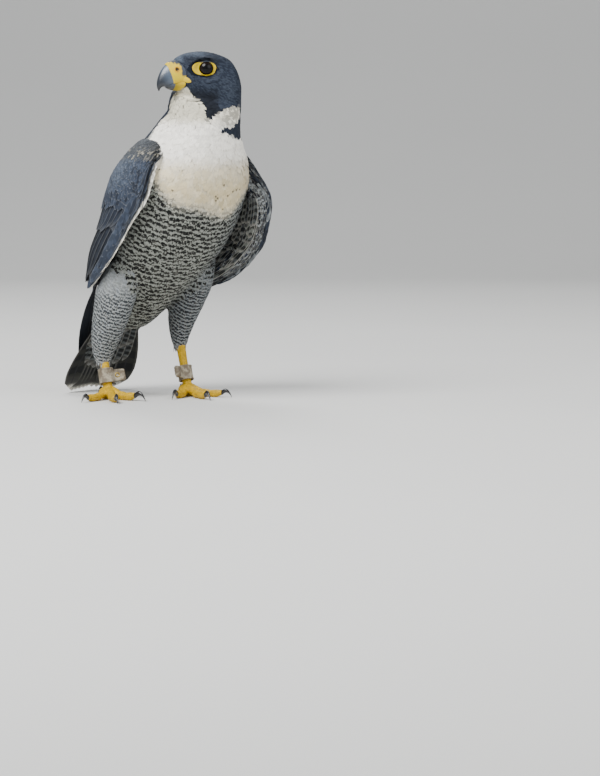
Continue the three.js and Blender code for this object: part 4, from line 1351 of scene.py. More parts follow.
def small_coverts(name, side):
    us, vs = covert_places().T
    us = us + 0.003 * rng.normal(size=len(us))
    vs = vs + 0.004 * rng.normal(size=len(vs))
    count = len(us)
    t = BROAD_ROWS[:, 0]
    grow = 1 + 0.7 * smooth(us, 0.08, 0.26)
    length = COVERTS["length"] * grow * (0.85 + 0.3 * rng.random(count))
    u = np.clip(us[:, None] + length[:, None] * t, 0.0, 1)
    v = vs[:, None] + 0.01 * rng.normal(size=(count, 1)) * t
    low = 0.9 * smooth(us, 0.12, 0.26) - rising(us) - 1.2 * smooth(us, 0.28, 0.3)
    depth = (low + nose_depth(us, vs))[:, None] + 1.2 - 1.6 * t[None, :] - 0.3 * rng.random((count, 1))
    line = wing_point(u, v, depth, side)
    normal = unit(wing_point(u, v, depth - 1, side) - line)
    across = across_line(line, normal)
    half = COVERTS["half"] * (grow * (0.85 + 0.3 * rng.random(count)))[:, None] * BROAD_ROWS[:, 1]
    draw = rng.random(count)
    upper = smooth(vs, 0.45, 0.75)
    mantle = smooth(us, 0.12, 0.07) * (side < 0)
    tone = paint([
        (1.0, mix(SLATE, SLATE_PALE, 0.05)),
        (0.4 * draw, mix(SLATE, SLATE_PALE, 0.5)),
        (0.7 * (draw < 0.25), SLATE_DEEP),
        (0.4 * upper * (draw > 0.4), SLATE_PALE),
        (0.45 * smooth(us, 0.24, 0.16) * smooth(vs, 0.1, 0.3) * (side < 0), SLATE_PALE),
        (0.65 * mantle, mix(SLATE_DEEP, linear("66665f"), 0.4)),
        (0.8 * mantle * (draw > 0.75) * smooth(us, 0.02, 0.06), linear("8f8b7e")),
        (smooth(vs, 0.006, -0.008) * (side < 0) * (us > 0.1), WHITE_EDGE),
        (0.75 * smooth(vs, 0.06, 0.0) * (side > 0) * (draw > 0.6), linear("a7adb0")),
    ], draw.shape)
    run = 2.0 * t + rng.random((count, 1))
    looks = feather_looks(
        tone, SLATE_DEEP, run, bars=0.4, spot=0, fringe=0.45, edge=0.15 + 0.2 * upper, ragged=0.3,
    )
    patch_at = np.stack([0.02 + 0.9 * np.clip(vs, 0, 1), 0.02 + 0.9 * us / 0.6], -1)
    parts = (line, across, normal, half, 0.16 * half, looks)
    made = feather_mesh(f"coverts_{name}", *parts, coat_look, patch_at)


# The mottled feathers that lap round the front edge of the lowered left wing to its lining.
LIP = {"step": 0.0115, "columns": 15, "to": 0.61, "length": 0.034, "half": 1.7}


def lip_point(u, w, side, lift):
    inner_above = read(WING_BED, u, 2) + 0.6
    inner = np.where(u < 0.3, inner_above, np.interp(u, LINING["us"], LINING["depths"]) + 1.4)
    v = 0.03 * (1 - w) ** 2 - 0.012 * np.sin(math.pi * w) + 0.13 * w**3
    depth = mix(-0.6 - rising(u), inner, smooth(w, 0, 1))
    at = wing_point(u, v, depth, side)
    core = wing_point(u, 0.1 + 0 * v, inner / 2, side)
    return at + unit(at - core) * np.asarray(lift)[..., None]


def lip_feathers(name, side):
    us, ws = [], []
    for row, u in enumerate(np.arange(0.0, LIP["to"], LIP["step"])):
        for column in range(LIP["columns"]):
            us.append(u)
            ws.append((column + 0.5 * (row % 2)) / LIP["columns"])
    count = len(us)
    us = np.array(us) + 0.003 * rng.normal(size=count)
    ws = np.clip(np.array(ws) + 0.02 * rng.normal(size=count), 0, 1)
    t = BROAD_ROWS[:, 0]
    length = LIP["length"] * (0.8 + 0.4 * rng.random(count))
    u = us[:, None] + length[:, None] * t
    w = np.broadcast_to(ws[:, None], u.shape)
    lift = 0.2 + 1.3 * BROAD_ROWS[None, :, 2] + 0.2 * rng.random((count, 1))
    line = lip_point(u, w, side, lift)
    normal = unit(lip_point(u, w, side, lift + 1) - line)
    across = across_line(line, normal)
    half = LIP["half"] * (0.8 + 0.4 * rng.random((count, 1))) * BROAD_ROWS[None, :, 1]
    draw = rng.random(count)
    rim = smooth(ws, 0.3, 0.1)
    tone = paint([
        (1.0, SLATE),
        (0.75 * (draw > 0.45) * (1 - 0.6 * rim), linear("9aa0a2")),
        (0.7 * (draw < 0.22), SLATE_DEEP),
    ], draw.shape)
    run = 1.6 * t + rng.random((count, 1))
    looks = feather_looks(
        tone, INK, run, bars=0.75, spot=0, fringe=0.75 - 0.4 * rim, edge=0.5 - 0.3 * rim, ragged=0.5,
    )
    patch_at = np.stack([0.02 + 0.9 * ws, 0.02 + 0.9 * us], -1)
    parts = (line, across, normal, half, 0.16 * half, looks)
    made = feather_mesh(f"lip_{name}", *parts, coat_look, patch_at)


# The loose ends of the thigh feathers, which hang over the top of the bare shank.
def thigh_hem(name):
    rows = THIGH[name]
    count = 110
    a = circle(count) + 0.05 * rng.normal(size=count)
    start = 0.4 + 0.9 * rng.random(count)
    reach = 0.55 + 0.35 * rng.random(count)
    t = BROAD_ROWS[:, 0]
    s = np.clip(len(rows) - 1 - start[:, None] + reach[:, None] * 1.2 * t, 0, None)
    below = np.maximum(s - (len(rows) - 1), 0)
    level = along(rows, np.minimum(s, len(rows) - 1))
    out = np.stack([np.cos(a), np.sin(a)], -1)[:, None, :]
    flare = (0.2 + 0.9 * t)[None, :, None]
    flat = level[..., :2] + out * (level[..., 3:5] - 1.3 + flare)
    line = np.concatenate([flat, (level[..., 2] - 11 * below)[..., None]], -1)
    normal = unit(np.concatenate([np.broadcast_to(out, flat.shape), 0 * level[..., :1]], -1))
    across = across_line(line, normal)
    half = (1.1 + 0.5 * rng.random((count, 1))) * BROAD_ROWS[None, :, 1]
    draw = rng.random(count)
    tone, ink, bars, spot, fringe, edge = thigh_marks(line[:, 2], draw)
    tone = mix(tone, CREAM, 0.25 * draw[:, None])
    run = line @ SPINE_WAY / REGIONS["thigh"]["period"]
    looks = feather_looks(
        tone, ink, run, bars=0.6 * bars, spot=spot, fringe=fringe, edge=edge, ragged=0.6,
    )
    parts = (line, across, normal, half, 0.14 * half, looks)
    made = feather_mesh(f"hem_{name}", *parts, coat_look, unwrap(line[:, 0]))


for name, side in SIDES.items():
    thigh_hem(name)
    small_coverts(name, side)
    if side > 0:
        lip_feathers(name, side)
    arm = [v for tier in TIERS for v in tier_vanes(side, tier)] + scapular_vanes(side)
    if side > 0:
        arm += lining_vanes(side)
    vane_mesh(f"wing_vanes_{name}", arm, [f"wing_{name}"])
    vane_mesh(f"primary_vanes_{name}", quill_vanes(side), [f"primaries_{name}"])


# The tail: twelve feathers in six pairs, with coverts over and under its root, swayed to the right.
TAIL_SWAY = 7.0


def swayed(points, u):
    return points - np.stack([TAIL_SWAY * u**1.3, 0 * u, 0 * u], -1)


RECTRIX = {"pairs": 6, "spread": 5.9, "half": 12.5, "drop": 0.8, "outer_short": 0.03}
# Rows of coverts over and under the tail's root: where they start and end, and how far they rise.
TAIL_COVERTS = {
    "upper": [(0.1, 0.45, 1.4), (0.05, 0.34, 2.3), (0.0, 0.24, 3.2)],
    "under": [(0.3, 0.84, -5.6), (0.22, 0.7, -6.5), (0.16, 0.56, -7.4), (0.1, 0.44, -8.2)],
}


def tail_vanes():
    vanes = []
    for i in range(1, RECTRIX["pairs"] + 1):
        for side in (1, -1):
            tip = 1 - RECTRIX["outer_short"] * (i == RECTRIX["pairs"])
            rank = 0 if i == 1 and side < 0 else i

            def place(t, x, sunk, i=i, side=side, tip=tip, rank=rank):
                u = mix(0.05, tip, t)
                spread = mix(0.3, 0.96, smooth(u, 0.1, 0.85))
                across = ((i - 0.5) * RECTRIX["spread"] + x * RECTRIX["half"]) * spread
                inner = across if i == 1 else np.maximum(across, 0.3)
                return swayed(tail_point(u, side * inner, -rank * RECTRIX["drop"] - sunk), u)

            vanes.append({
                "place": place, "pointed": 0.0, "bands": 9, "bars": 0.8, "fringe": 0.3, "edge": 0.3,
                "tone": mix(TAIL_PALE, TAIL_DARK, 0.5), "ink": TAIL_DARK, "phase": 0.1, "tip": WHITE_EDGE,
            })
    for root, tip, rise in TAIL_COVERTS["upper"]:
        for across in (-12, -4, 4, 12):
            def place(t, x, sunk, across=across, root=root, tip=tip, rise=rise):
                lift = rise * (1 - 0.5 * t) + 0.25 * x
                u = mix(root, tip, t)
                return swayed(tail_point(u, across + 6.5 * x, lift - sunk), u)

            look = wing_look(rng.random(), 0.0)
            look.update(place=place, pointed=0.1, bands=5, bars=0.6)
            vanes.append(look)
    for root, tip, rise in TAIL_COVERTS["under"]:
        for across in (-24, -16, -8, 0, 8, 16, 24):
            def place(t, x, sunk, across=across, root=root, tip=tip, rise=rise):
                lift = rise * (1 - 0.15 * t) - 0.25 * x
                u = mix(root, tip - 0.003 * abs(across), t)
                place_across = across * mix(0.45, 1.0, smooth(u, 0.1, 0.7))
                return swayed(tail_point(u, place_across + 6.8 * x, lift - sunk), u)

            vanes.append({
                "place": place, "pointed": 0.1, "bands": 11, "bars": 0.9, "fringe": 0.3, "edge": 0.6,
                "tone": mix(FLANK, TAIL_PALE, 0.6), "ink": INK, "phase": 0.3,
            })
    return vanes


vane_mesh("tail_vanes", tail_vanes(), ["tail"])


# Bare parts: bill, eyes, lids

# Beak sections: forward and height of the upper edge, then of the lower edge, and half width.
UPPER_BEAK = np.array([
    [29, 339, 25, 318.6, 13],
    [37, 338, 31.5, 317.2, 10.8],
    [43, 335.6, 37.5, 316, 8.9],
    [48, 331.3, 42, 315, 7.2],
    [52, 325.3, 46, 313.2, 5.6],
    [54.6, 318, 49.8, 312.4, 3.8],
    [54.9, 312.3, 52, 310.2, 1.9],
    [53.4, 307.8, 52.6, 308.2, 0.8],
])
LOWER_BEAK = np.array([
    [24, 319.4, 25, 309, 12.6],
    [32, 317.8, 33, 308.4, 10],
    [39, 316.6, 39.5, 308.8, 7.4],
    [44.5, 315, 44.5, 310.2, 4.6],
    [46.8, 313.4, 46.6, 311.6, 2.2],
])


# One section of the beak at s rows from its root: flat = 1 for the upper jaw, -1 for the lower one.
def beak_ring(rows, flat, s, sides, swell=0.0):
    f0, z0, f1, z1, width = along(rows, s)
    a = circle(sides)
    away = np.cos(a) * flat
    share = np.clip((away + 0.55) / 1.55, 0, 1) ** 0.9
    rise = share if flat > 0 else 1 - share
    tooth = 0.9 * math.exp(-(((s - 4.35) / 0.28) ** 2)) if flat > 0 else 0
    left = (width + swell) * np.sin(a) * (1 - 0.22 * away)
    height = mix(z1, z0, rise) + swell * np.cos(a) - tooth * (1 - share) * (np.abs(np.sin(a)) > 0.3)
    return head_point(mix(f1, f0, rise) + 0.4 * swell, left, height)


def ring_colours(points, tone, feather_cover_and_shade):
    colours = {"tone": tone(points)}
    if feather_cover_and_shade:
        colours["feather_cover_and_shade"] = feather_cover_and_shade(points)
    return colours


# A closed tube through rings of equal size, with a point at each end.
def tube(name, rings, material, tone=np.ones_like, sharp=60, feather_cover_and_shade=None):
    sides = len(rings[0])
    points = np.concatenate(rings + [[np.mean(rings[0], axis=0)], [np.mean(rings[-1], axis=0)]])
    count = len(rings)
    first, last = len(points) - 2, len(points) - 1
    i = np.arange(sides)
    j = (i + 1) % sides
    end = (count - 1) * sides
    caps = np.concatenate([
        np.stack([j, i, np.full(sides, first)], -1),
        np.stack([end + i, end + j, np.full(sides, last)], -1),
    ])
    quads = ring_faces(count, sides)
    turn = rings[0]
    loop = np.cross(turn[1] - turn[0], turn[2] - turn[1])
    ahead = np.mean(rings[1], axis=0) - np.mean(rings[0], axis=0)
    if loop @ ahead < 0:
        quads, caps = quads[:, ::-1], caps[:, ::-1]
    return make_mesh(name, points, [quads, caps], material, ring_colours(points, tone, feather_cover_and_shade), sharp=sharp)


# A closed hoop through rings of equal size.
def hoop(name, rings, material, sharp=60, feather_cover_and_shade=None):
    quads = ring_faces(len(rings), len(rings[0]), closed=True)
    points = np.concatenate(rings)
    a, b, _, d = (points[column] for column in quads.T)
    if (np.cross(b - a, d - a) * (a - points.mean(0))).sum() < 0:
        quads = quads[:, ::-1]
    colours = ring_colours(points, np.ones_like, feather_cover_and_shade)
    return make_mesh(name, points, [quads], material, colours, sharp=sharp)


def beak_piece(name, rows, flat, low, high, count, swell, material, tone, feather_cover_and_shade=None):
    rings = [beak_ring(rows, flat, s, 72, swell(s)) for s in np.linspace(low, high, count)]
    return tube(name, rings, material, tone, feather_cover_and_shade=feather_cover_and_shade)


NOSTRIL = {"forward": 37.2, "left": 9.0, "height": 328.8, "reach": 2.0, "deep": 1.6, "pin": 0.7}


def nostril_at(side):
    return head_point(NOSTRIL["forward"], side * NOSTRIL["left"], NOSTRIL["height"])


# Pushes the cere's surface in at the nostril, leaving a small cone in its middle.
def with_nostrils(made):
    mesh = made.data
    points = np.array([v.co for v in mesh.vertices]) / MM - SHIFT
    for side in SIDES.values():
        far = np.linalg.norm(points - nostril_at(side), axis=1)
        bowl = np.clip(1 - (far / NOSTRIL["reach"]) ** 2, 0, 1)
        pin = np.clip(1 - (far / NOSTRIL["pin"]) ** 2, 0, 1)
        rim = np.exp(-(((far - NOSTRIL["reach"] * 1.15) / 0.7) ** 2))
        push = -NOSTRIL["deep"] * bowl + 1.6 * pin + 0.35 * rim
        points = points + (side * push)[:, None] * HEAD_LEFT
    mesh.vertices.foreach_set("co", to_frame(points).astype(np.float32).reshape(-1))


CERE_ROW = 2.55


# How far the cere stands out over the horn: a low bulge, drawn in at its edge.
def cere_swell(s):
    bulge = 0.35 * math.exp(-(((s - CERE_ROW + 0.25) / 0.25) ** 2))
    return 0.35 + bulge - 9 * max(0, s - CERE_ROW + 0.05)


def bill_tone(points):
    f, l, h = head_local(points)
    base = mix(linear("4d5a6b"), linear("1d232c"), smooth(f + (330 - h) * 0.5, 44, 60)[:, None])
    return mix(base, linear("16181d"), smooth(h, 317, 309)[:, None])


# The nostrils are painted near black: painted shade in their hollows, each inside a darker, warmer ring.
def cere_tone(points):
    tone = np.ones_like(points)
    for side in SIDES.values():
        far = np.linalg.norm(points - nostril_at(side), axis=1)[:, None]
        tone = tone * mix(0.02, 1.0, smooth(far, NOSTRIL["reach"] * 0.8, NOSTRIL["reach"] * 1.15))
        warm = np.array([0.95, 0.72, 0.4])
        tone = tone * mix(warm, np.ones(3), smooth(far, NOSTRIL["reach"], NOSTRIL["reach"] * 2.4))
    return tone


# Where short dark feathers close over the cere: along its top and at its back above the gape.
def cere_veil(points):
    f, l, h = head_local(points)
    uneven = 0.7 * np.sin(2.1 * f) + 0.5 * np.sin(3.7 * h)
    top = smooth(h + uneven - 0.3 * (f - 37), 333.6, 335.4)
    lore = smooth(f + uneven, 34.4, 32.4) * smooth(h, 321.5, 323.5)
    return np.repeat(np.maximum(top, lore)[:, None], 3, axis=1)


def gape_tone(points):
    f, l, h = head_local(points)
    return np.ones_like(points) * mix(0.45, 1.0, smooth(f, 40, 30))[:, None]


# The fleshy corner of the mouth, which runs back along the cheek from the cere.
GAPE_PATH = np.array([
    [34, 320.4, 2.3],
    [31.4, 319.7, 2.8],
    [29, 318.8, 2.7],
    [27, 317.9, 2.1],
    [25.5, 317.2, 0.7],
])


def build_gape_corner(name, side):
    rings = []
    for s in np.linspace(0, len(GAPE_PATH) - 1, 26):
        f, h, r = along(GAPE_PATH, s)
        a = circle(20)
        start = Vector(head_point(f, side * 40, h))
        landed = flesh_tree.ray_cast(start, Vector(-side * HEAD_LEFT))[0]
        out = side * HEAD_LEFT * (0.3 + 0.06 * math.sin(9 * s))
        ring = out + side * HEAD_LEFT * (0.4 * r * np.sin(a))[:, None] + UP * (r * np.cos(a))[:, None]
        rings.append(np.array(landed) + ring)
    corner = tube(f"gape_corner_{name}", rings, cere_look, sharp=180)


cere = beak_piece("cere_skin", UPPER_BEAK, 1, 0, CERE_ROW, 90, cere_swell, cere_look, cere_tone, cere_veil)
with_nostrils(cere)
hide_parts("cere")
bill = beak_piece("bill_horn", UPPER_BEAK, 1, CERE_ROW - 0.3, 7, 70, lambda s: 0, horn_look, bill_tone)
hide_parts("bill_upper")
gape = beak_piece("gape_skin", LOWER_BEAK, -1, 0, 1.9, 30, lambda s: 0.1, cere_look, gape_tone)
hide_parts("gape")
jaw = beak_piece("jaw_horn", LOWER_BEAK, -1, 1.7, 4, 30, lambda s: 0, horn_look, bill_tone)
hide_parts("bill_lower")
for name, side in SIDES.items():
    build_gape_corner(name, side)


# Eyes: a dark iris round a black pupil under one clear glossy surface.
def eye_centre(side):
    return head_point(EYE["forward"], side * EYE["left"], EYE["height"])


def eye_frame(side):
    along_cheek, outwards = cheek_axes(side)
    return along_cheek, UP, outwards


def ball_rings(centre, axes, radius, rows, sides):
    x, y, z = axes
    rings = []
    for t in np.linspace(0.004, math.pi - 0.004, rows):
        a = circle(sides)[:, None]
        around = x * np.cos(a) + y * np.sin(a)
        rings.append(centre + radius * (math.cos(t) * z + math.sin(t) * around))
    return rings


def build_eye(name, side):
    axes = eye_frame(side)
    centre = eye_centre(side)

    def tones(points):
        away = unit(points - centre) @ axes[2]
        iris = mix(linear("150d08"), linear("080504"), smooth(away, 0.72, 0.55)[:, None])
        return mix(iris, linear("020203"), smooth(away, 0.84, 0.87)[:, None])

    rings = ball_rings(centre, axes, EYE["radius"] - 0.05, 48, 48)
    eye = tube(f"eyeball_{name}", rings, eye_look, tones, sharp=180)
    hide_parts(f"eye_{name}")


# The bare ring round the eye, wider in front, laid from the eye's ball onto the face.
LID = {"open": np.array([7.0, 6.4]), "ring": 1.4, "front": 6.9, "back": 1.6, "thick": 0.7}


# The upper part of the ring round the eye is painted dark slate: painted shade under the brow.
def brow_shade_on_lid(points):
    f, l, h = head_local(points)
    front = smooth(f, EYE["forward"] + 6, EYE["forward"] + 10)
    over = smooth(h + 0.3 * np.sin(3 * f), EYE["height"] + 4.8, EYE["height"] + 6.2)
    return np.repeat((over * (1 - front))[:, None], 3, axis=1)


def build_lid(name, side):
    x, y, z = eye_frame(side)
    centre = eye_centre(side)
    sign = 1 if (x @ FACING) > 0 else -1
    count, steps = 96, 9
    over, under = [], []
    for a in circle(count):
        way = math.cos(a) * x + math.sin(a) * y
        forward = sign * math.cos(a)
        inner = np.linalg.norm(LID["open"] * [math.cos(a), math.sin(a)])
        wide = LID["ring"] + LID["front"] * max(0, forward) ** 4 + 0.25 * math.sin(7 * a)
        wide += LID["back"] * max(0, -forward) ** 3
        t = np.linspace(0, 1, steps)
        reach = inner + wide * t
        ball = np.sqrt(np.maximum(EYE["radius"] ** 2 - np.minimum(reach, 7.7) ** 2, 0.5))
        flat = centre + way * reach[:, None] + z * ball[:, None]
        landed, normal = onto_skin(flat)
        laid = mix(flat + 0.15 * z, landed + 0.35 * normal, smooth(t, 0.0, 0.55)[:, None])
        fold = 0.1 * np.sin(5 * a) * np.sin(math.pi * t)
        swell = LID["thick"] * np.sqrt(np.clip(4 * t * (1 - t), 0, 1)) ** 0.7 + fold
        over.append(laid + z * swell[:, None])
        under.append(laid - 0.8 * z)
    rings = [np.concatenate([a, b[::-1]]) for a, b in zip(over, under)]
    # The ring's upper part is painted dark as shade under the brow.
    lid = hoop(f"eyelid_{name}", rings, cere_look, 180, feather_cover_and_shade=brow_shade_on_lid)
    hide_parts(f"lid_{name}")


for name, side in SIDES.items():
    build_eye(name, side)
    build_lid(name, side)


# Feet: shank, hub and toes as one scaly skin; claws of horn

# Toe and claw sections: share of the length, height, thickness.
TOE_SHAPE = np.array([
    [0, 1.75, 1],
    [0.17, 1.35, 0.98],
    [0.32, 1.0, 0.84],
    [0.46, 0.82, 0.98],
    [0.6, 0.8, 0.8],
    [0.76, 0.77, 0.94],
    [0.9, 0.95, 0.76],
    [1, 1.1, 0.58],
])
CLAW_SHAPE = np.array([
    [0, 0, 1],
    [0.3, 0.16, 0.88],
    [0.62, 0.1, 0.62],
    [0.88, -0.12, 0.36],
    [1, -0.3, 0.1],
])


def foot_at(foot, height=HUB["height"]):
    return np.array([foot["x"], foot["y"], height])


# The directions along a toe and across it.
def toe_ways(foot, toe):
    angle = math.radians(-foot["turn"] + foot["side"] * toe["swing"])
    way = np.array([math.sin(angle), -math.cos(angle), 0])
    return way, np.array([-way[1], way[0], 0])


# Toe sections, with a raised ridge on top at each scale and round pads below.
def toe_rings(foot, toe, count=64, sides=24):
    way, across = toe_ways(foot, toe)
    rings = []
    for share, height, radius in walk(TOE_SHAPE, count):
        at = foot_at(foot, height * toe["thick"]) + way * (5 + share * (toe["length"] - 5))
        a = circle(sides)
        pace = share * (toe["length"] - 5) / 2.3
        scale = 0.34 * (1 - 2 * abs(pace % 1 - 0.5)) ** 0.5 * np.clip(np.cos(a) + 0.15, 0, 1) ** 0.6
        r = radius * toe["thick"] + scale
        ring = at + across * (r * np.sin(a))[:, None]
        ring[:, 2] += 0.95 * r * np.cos(a)
        rings.append(ring)
    return rings


def shank_rings(foot, count=40, sides=28):
    rings = []
    for t in np.linspace(-0.25, 1, count):
        at = mix(foot["heel"], foot_at(foot), t)
        swell = 1 + 0.22 * (2 * max(t, 0) - 1) ** 2
        a = circle(sides)
        scale = 0.22 * (1 - 2 * abs((t * 16) % 1 - 0.5)) ** 0.5
        thin, thick = SHANK["thin"] * swell + scale, SHANK["thick"] * swell + scale
        rings.append(at + np.stack([thin * np.cos(a), thick * np.sin(a), 0 * a], -1))
    return rings


def hub_rings(foot, count=14, sides=24):
    reach = np.array([HUB["width"], HUB["width"] * 0.95, HUB["rise"]])
    return [foot_at(foot) + ring * reach for ring in ball_rings(np.zeros(3), np.eye(3), 1, count, sides)]


FOOT_SKIN = {"voxel": 0.55, "smoothing": 3}


def build_foot(name, foot):
    bm = bmesh.new()
    add_rings(bm, shank_rings(foot))
    add_rings(bm, hub_rings(foot))
    for toe in TOES:
        add_rings(bm, toe_rings(foot, toe))
    points, quads = remeshed(bm, FOOT_SKIN)
    low = points[:, 2] < 0.6
    points[low, 2] = 0.6 * np.clip(points[low, 2] + 0.2, 0, 0.8) / 0.8
    made = make_mesh(
        f"foot_{name}", points, [quads], foot_look, {"tone": np.ones_like(points)},
        uvs={"OFBake": unwrap(points * [2, 2, 4])}, sharp=180,
    )
    names = [f"tarsus_{name}"] + [f"toe_{name}_{toe['name']}" for toe in TOES]
    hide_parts(*names)


def claw_rings(foot, toe, count=26, sides=20):
    way, across = toe_ways(foot, toe)
    high, radius = TOE_SHAPE[-1, 1:]
    base = toe["thick"] * radius * 0.95
    start = foot_at(foot, high * toe["thick"]) + way * (toe["length"] + 0.3)
    drop = (start[2] - 0.4) / 0.3
    rings = []
    for s in np.linspace(0, len(CLAW_SHAPE) - 1, count):
        share, rise, thin = along(CLAW_SHAPE, s)
        lift = rise * toe["claw"] if rise > 0 else rise * drop
        at = start + way * (share * toe["claw"] * 0.82 - (0.8 if s == 0 else 0))
        a = circle(sides)
        r = base * max(thin, 0.05)
        ring = at + across * (0.8 * r * np.sin(a))[:, None]
        ring[:, 2] += lift + r * np.cos(a) - 0.1 * r * (np.cos(a) < -0.8)
        ring[:, 2] = np.maximum(ring[:, 2], 0.02)
        rings.append(ring)
    return rings


def claw_tone(points):
    low = points[:, 2].min()
    return linear("141416") + 0.01 * smooth(points[:, 2], low + 6, low)[:, None]


for name, foot in FOOT.items():
    build_foot(name, foot)
    for toe in TOES:
        label = f"{name}_{toe['name']}"
        claw = tube(f"talon_{label}", claw_rings(foot, toe), claw_look, claw_tone, sharp=70)
        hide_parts(f"claw_{label}")


# Anklets: a stitched leather cuff, its pressed ends, the knot and a brass eyelet

CUFF = {"height": 15, "inner": 6.1, "thick": 1.5, "above": 15.5, "tab": 9, "knot": 5.2}


def anklet_place(foot):
    base = foot_at(foot)
    rise = unit(foot["heel"] - base)
    at = base + rise * (CUFF["above"] - HUB["height"]) / rise[2]
    inwards = unit(np.array([-foot["side"] * 0.9, -0.44, 0]))
    inwards = unit(inwards - (inwards @ rise) * rise)
    return at, rise, inwards, np.cross(rise, inwards)


# The cuff's section: how high up it and how far out each point lies.
CUFF_PROFILE = np.array([
    [0.05, 0.6], [0, 1.3], [0.35, 1.85], [0.9, 1.75], [1.3, 1.45], [7.5, 1.3], [13.7, 1.5],
    [14.1, 1.85], [14.7, 1.8], [15, 1.2], [14.9, 0.6], [13.5, 0.15], [7.5, 0.05], [1.5, 0.15],
])


def cuff_rings(foot):
    at, rise, inwards, across = anklet_place(foot)
    up, out = CUFF_PROFILE.T
    rings = []
    for a in circle(72):
        way = inwards * math.cos(a) + across * math.sin(a)
        wrinkle = 0.22 * math.sin(5 * a) + 0.12 * math.sin(11 * a + 1)
        reach = CUFF["inner"] + out + wrinkle * np.sin(up / CUFF["height"] * math.pi)
        rings.append(at + rise * up[:, None] + way * reach[:, None])
    return rings


# A padded block of leather: a ball squared by a power, with waves in it where asked.
def pillow(name, centre, axes, half, power, sides=28, count=20, wave=0.0):
    x, y, z = axes
    rings = []
    for t in np.linspace(0.02, math.pi - 0.02, count):
        a = circle(sides)
        lump = 1 + wave * np.sin(3 * a + 4 * t)
        out = math.sin(t) ** power * lump[:, None]
        ring = centre + z * half[2] * signed(math.cos(t), power)
        ring = ring + x * half[0] * out * signed(np.cos(a), power)[:, None]
        rings.append(ring + y * half[1] * out * signed(np.sin(a), power)[:, None])
    return tube(name, rings, leather_look, sharp=50)


def build_anklet(name, foot):
    at, rise, inwards, across = anklet_place(foot)
    axes = (inwards, across, rise)
    pieces = [hoop(f"cuff_{name}", cuff_rings(foot), leather_look, 45)]
    middle = at + rise * CUFF["height"] / 2
    out = CUFF["inner"] + CUFF["thick"] * 0.6
    for layer, shift in (("front", -0.8), ("back", 0.8)):
        centre = middle + inwards * (out + CUFF["tab"] / 2 - 0.6) + across * shift
        half = (CUFF["tab"] / 2 + 1.2, 0.72, CUFF["height"] * 0.4)
        pieces.append(pillow(f"cuff_tab_{layer}_{name}", centre, axes, half, 0.35))
    knot_at = middle + inwards * (out + CUFF["tab"] + 0.6)
    for part, (shift, size) in {"upper": (2.8, 0.62), "lower": (-2.9, 0.66), "bar": (0, 0.65)}.items():
        half = np.array([0.9, 0.8, 1]) * CUFF["knot"] * size
        centre = knot_at + rise * shift
        pieces.append(pillow(f"cuff_knot_{part}_{name}", centre, axes, half, 0.8, wave=0.08))
    eyelet = []
    t = circle(12)[:, None]
    centre = middle + inwards * (out + CUFF["tab"] / 2 - 0.4) - across * 1.75
    for a in circle(40):
        way = inwards * math.cos(a) + rise * math.sin(a)
        eyelet.append(centre + way * (2.1 + 0.55 * np.cos(t)) - across * 0.32 * np.sin(t))
    pieces.append(hoop(f"eyelet_{name}", eyelet, brass_look))
    for number in range(9):
        height = 1.6 + number * 1.45
        centre = at + rise * height + inwards * (out + 1.4) - across * 1.55
        pieces.append(pillow(f"stitch_{number}_{name}", centre, axes, (0.22, 0.22, 0.5), 0.8, 10, 8))
    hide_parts(f"anklet_{name}")


for name, foot in FOOT.items():
    build_anklet(name, foot)


# Stage, light and camera

CENTRE = to_frame([-5, -60, 180])


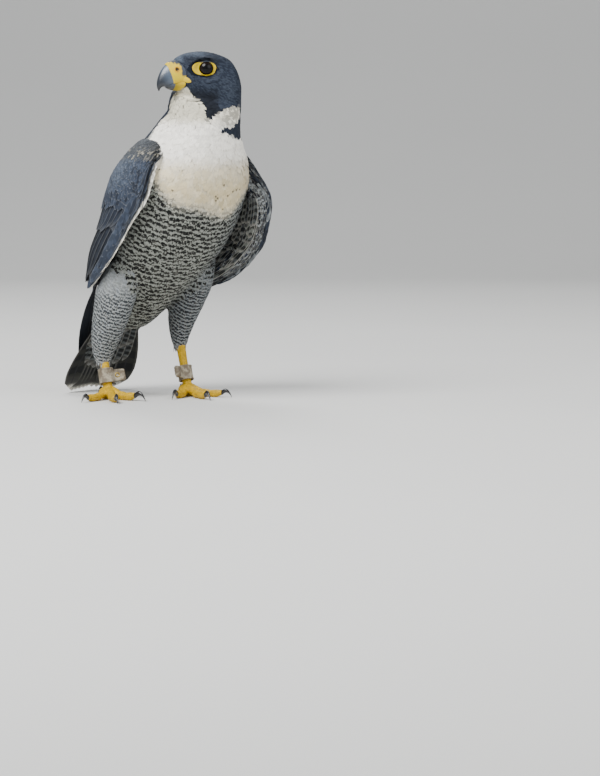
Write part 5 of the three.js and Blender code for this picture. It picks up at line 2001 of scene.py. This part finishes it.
def build_stage():
    n = Nodes("studio")
    mottle = n.noise(1.4, 2, n.place())
    n.finish(Base_Color=n.blend(mottle, (0.60, 0.60, 0.585, 1), (0.66, 0.66, 0.64, 1)), Roughness=0.9)
    bm = bmesh.new()
    profile = [(-4.0, 0.0)]
    for t in np.linspace(0, math.pi / 2, 24):
        profile.append((2.2 + 1.4 * math.sin(t), 1.4 * (1 - math.cos(t))))
    profile.append((3.6, 6.0))
    angle = math.radians(52)
    back = np.array([math.cos(angle), math.sin(angle)])
    wide = np.array([-back[1], back[0]])
    rows = []
    for reach, height in profile:
        rows.append([bm.verts.new((*(back * reach + wide * w), height)) for w in (-6, 6)])
    for a, b in zip(rows, rows[1:]):
        bm.faces.new((a[0], a[1], b[1], b[0]))
    mesh = bpy.data.meshes.new("studio_floor")
    bm.to_mesh(mesh)
    bm.free()
    mesh.shade_smooth()
    mesh.materials.append(n.material)
    floor = add_object("studio_floor", mesh)


# The direction towards an azimuth and elevation in degrees, with 0 in front.
def direction(azimuth, elevation):
    a, e = math.radians(azimuth), math.radians(elevation)
    return Vector((math.sin(a) * math.cos(e), -math.cos(a) * math.cos(e), math.sin(e)))


def area_light(name, azimuth, elevation, far, size, power):
    light = bpy.data.lights.new(name, "AREA")
    light.shape = "DISK"
    light.size = size
    light.energy = power
    way = direction(azimuth, elevation)
    made = add_object(name, light)
    made.location = Vector(CENTRE) + way * far
    made.rotation_euler = (-way).to_track_quat("-Z", "Y").to_euler()


build_stage()
area_light("key", -75, 48, 2.2, 1.4, 84)
area_light("fill", 12, 25, 2.6, 2.2, 28)
area_light("rim", 150, 50, 2.2, 1.0, 26)
world = bpy.data.worlds.new("studio_air")
world.use_nodes = True
air = world.node_tree.nodes["Background"]
air.inputs["Color"].default_value = (0.86, 0.88, 0.92, 1)
air.inputs["Strength"].default_value = 0.62
bpy.context.scene.world = world

# The camera's place round the bird, and how far its aim lies to the right of and below the centre.
CAMERA = {"azimuth": -38, "elevation": 2, "far": 3.0, "lens": 180, "right": 0.124, "down": 0.168}
towards = direction(CAMERA["azimuth"], CAMERA["elevation"])
right = direction(CAMERA["azimuth"] + 90, 0)
camera_data = bpy.data.cameras.new("camera")
camera_data.sensor_fit = "HORIZONTAL"
camera_data.sensor_width = 36
camera_data.lens = CAMERA["lens"]
camera = add_object("camera", camera_data)
camera.location = Vector(CENTRE) + towards * CAMERA["far"]
aim = Vector(CENTRE) + right * CAMERA["right"] - towards.cross(right) * CAMERA["down"]
camera.rotation_euler = (aim - camera.location).to_track_quat("-Z", "Y").to_euler()
bpy.context.scene.camera = camera
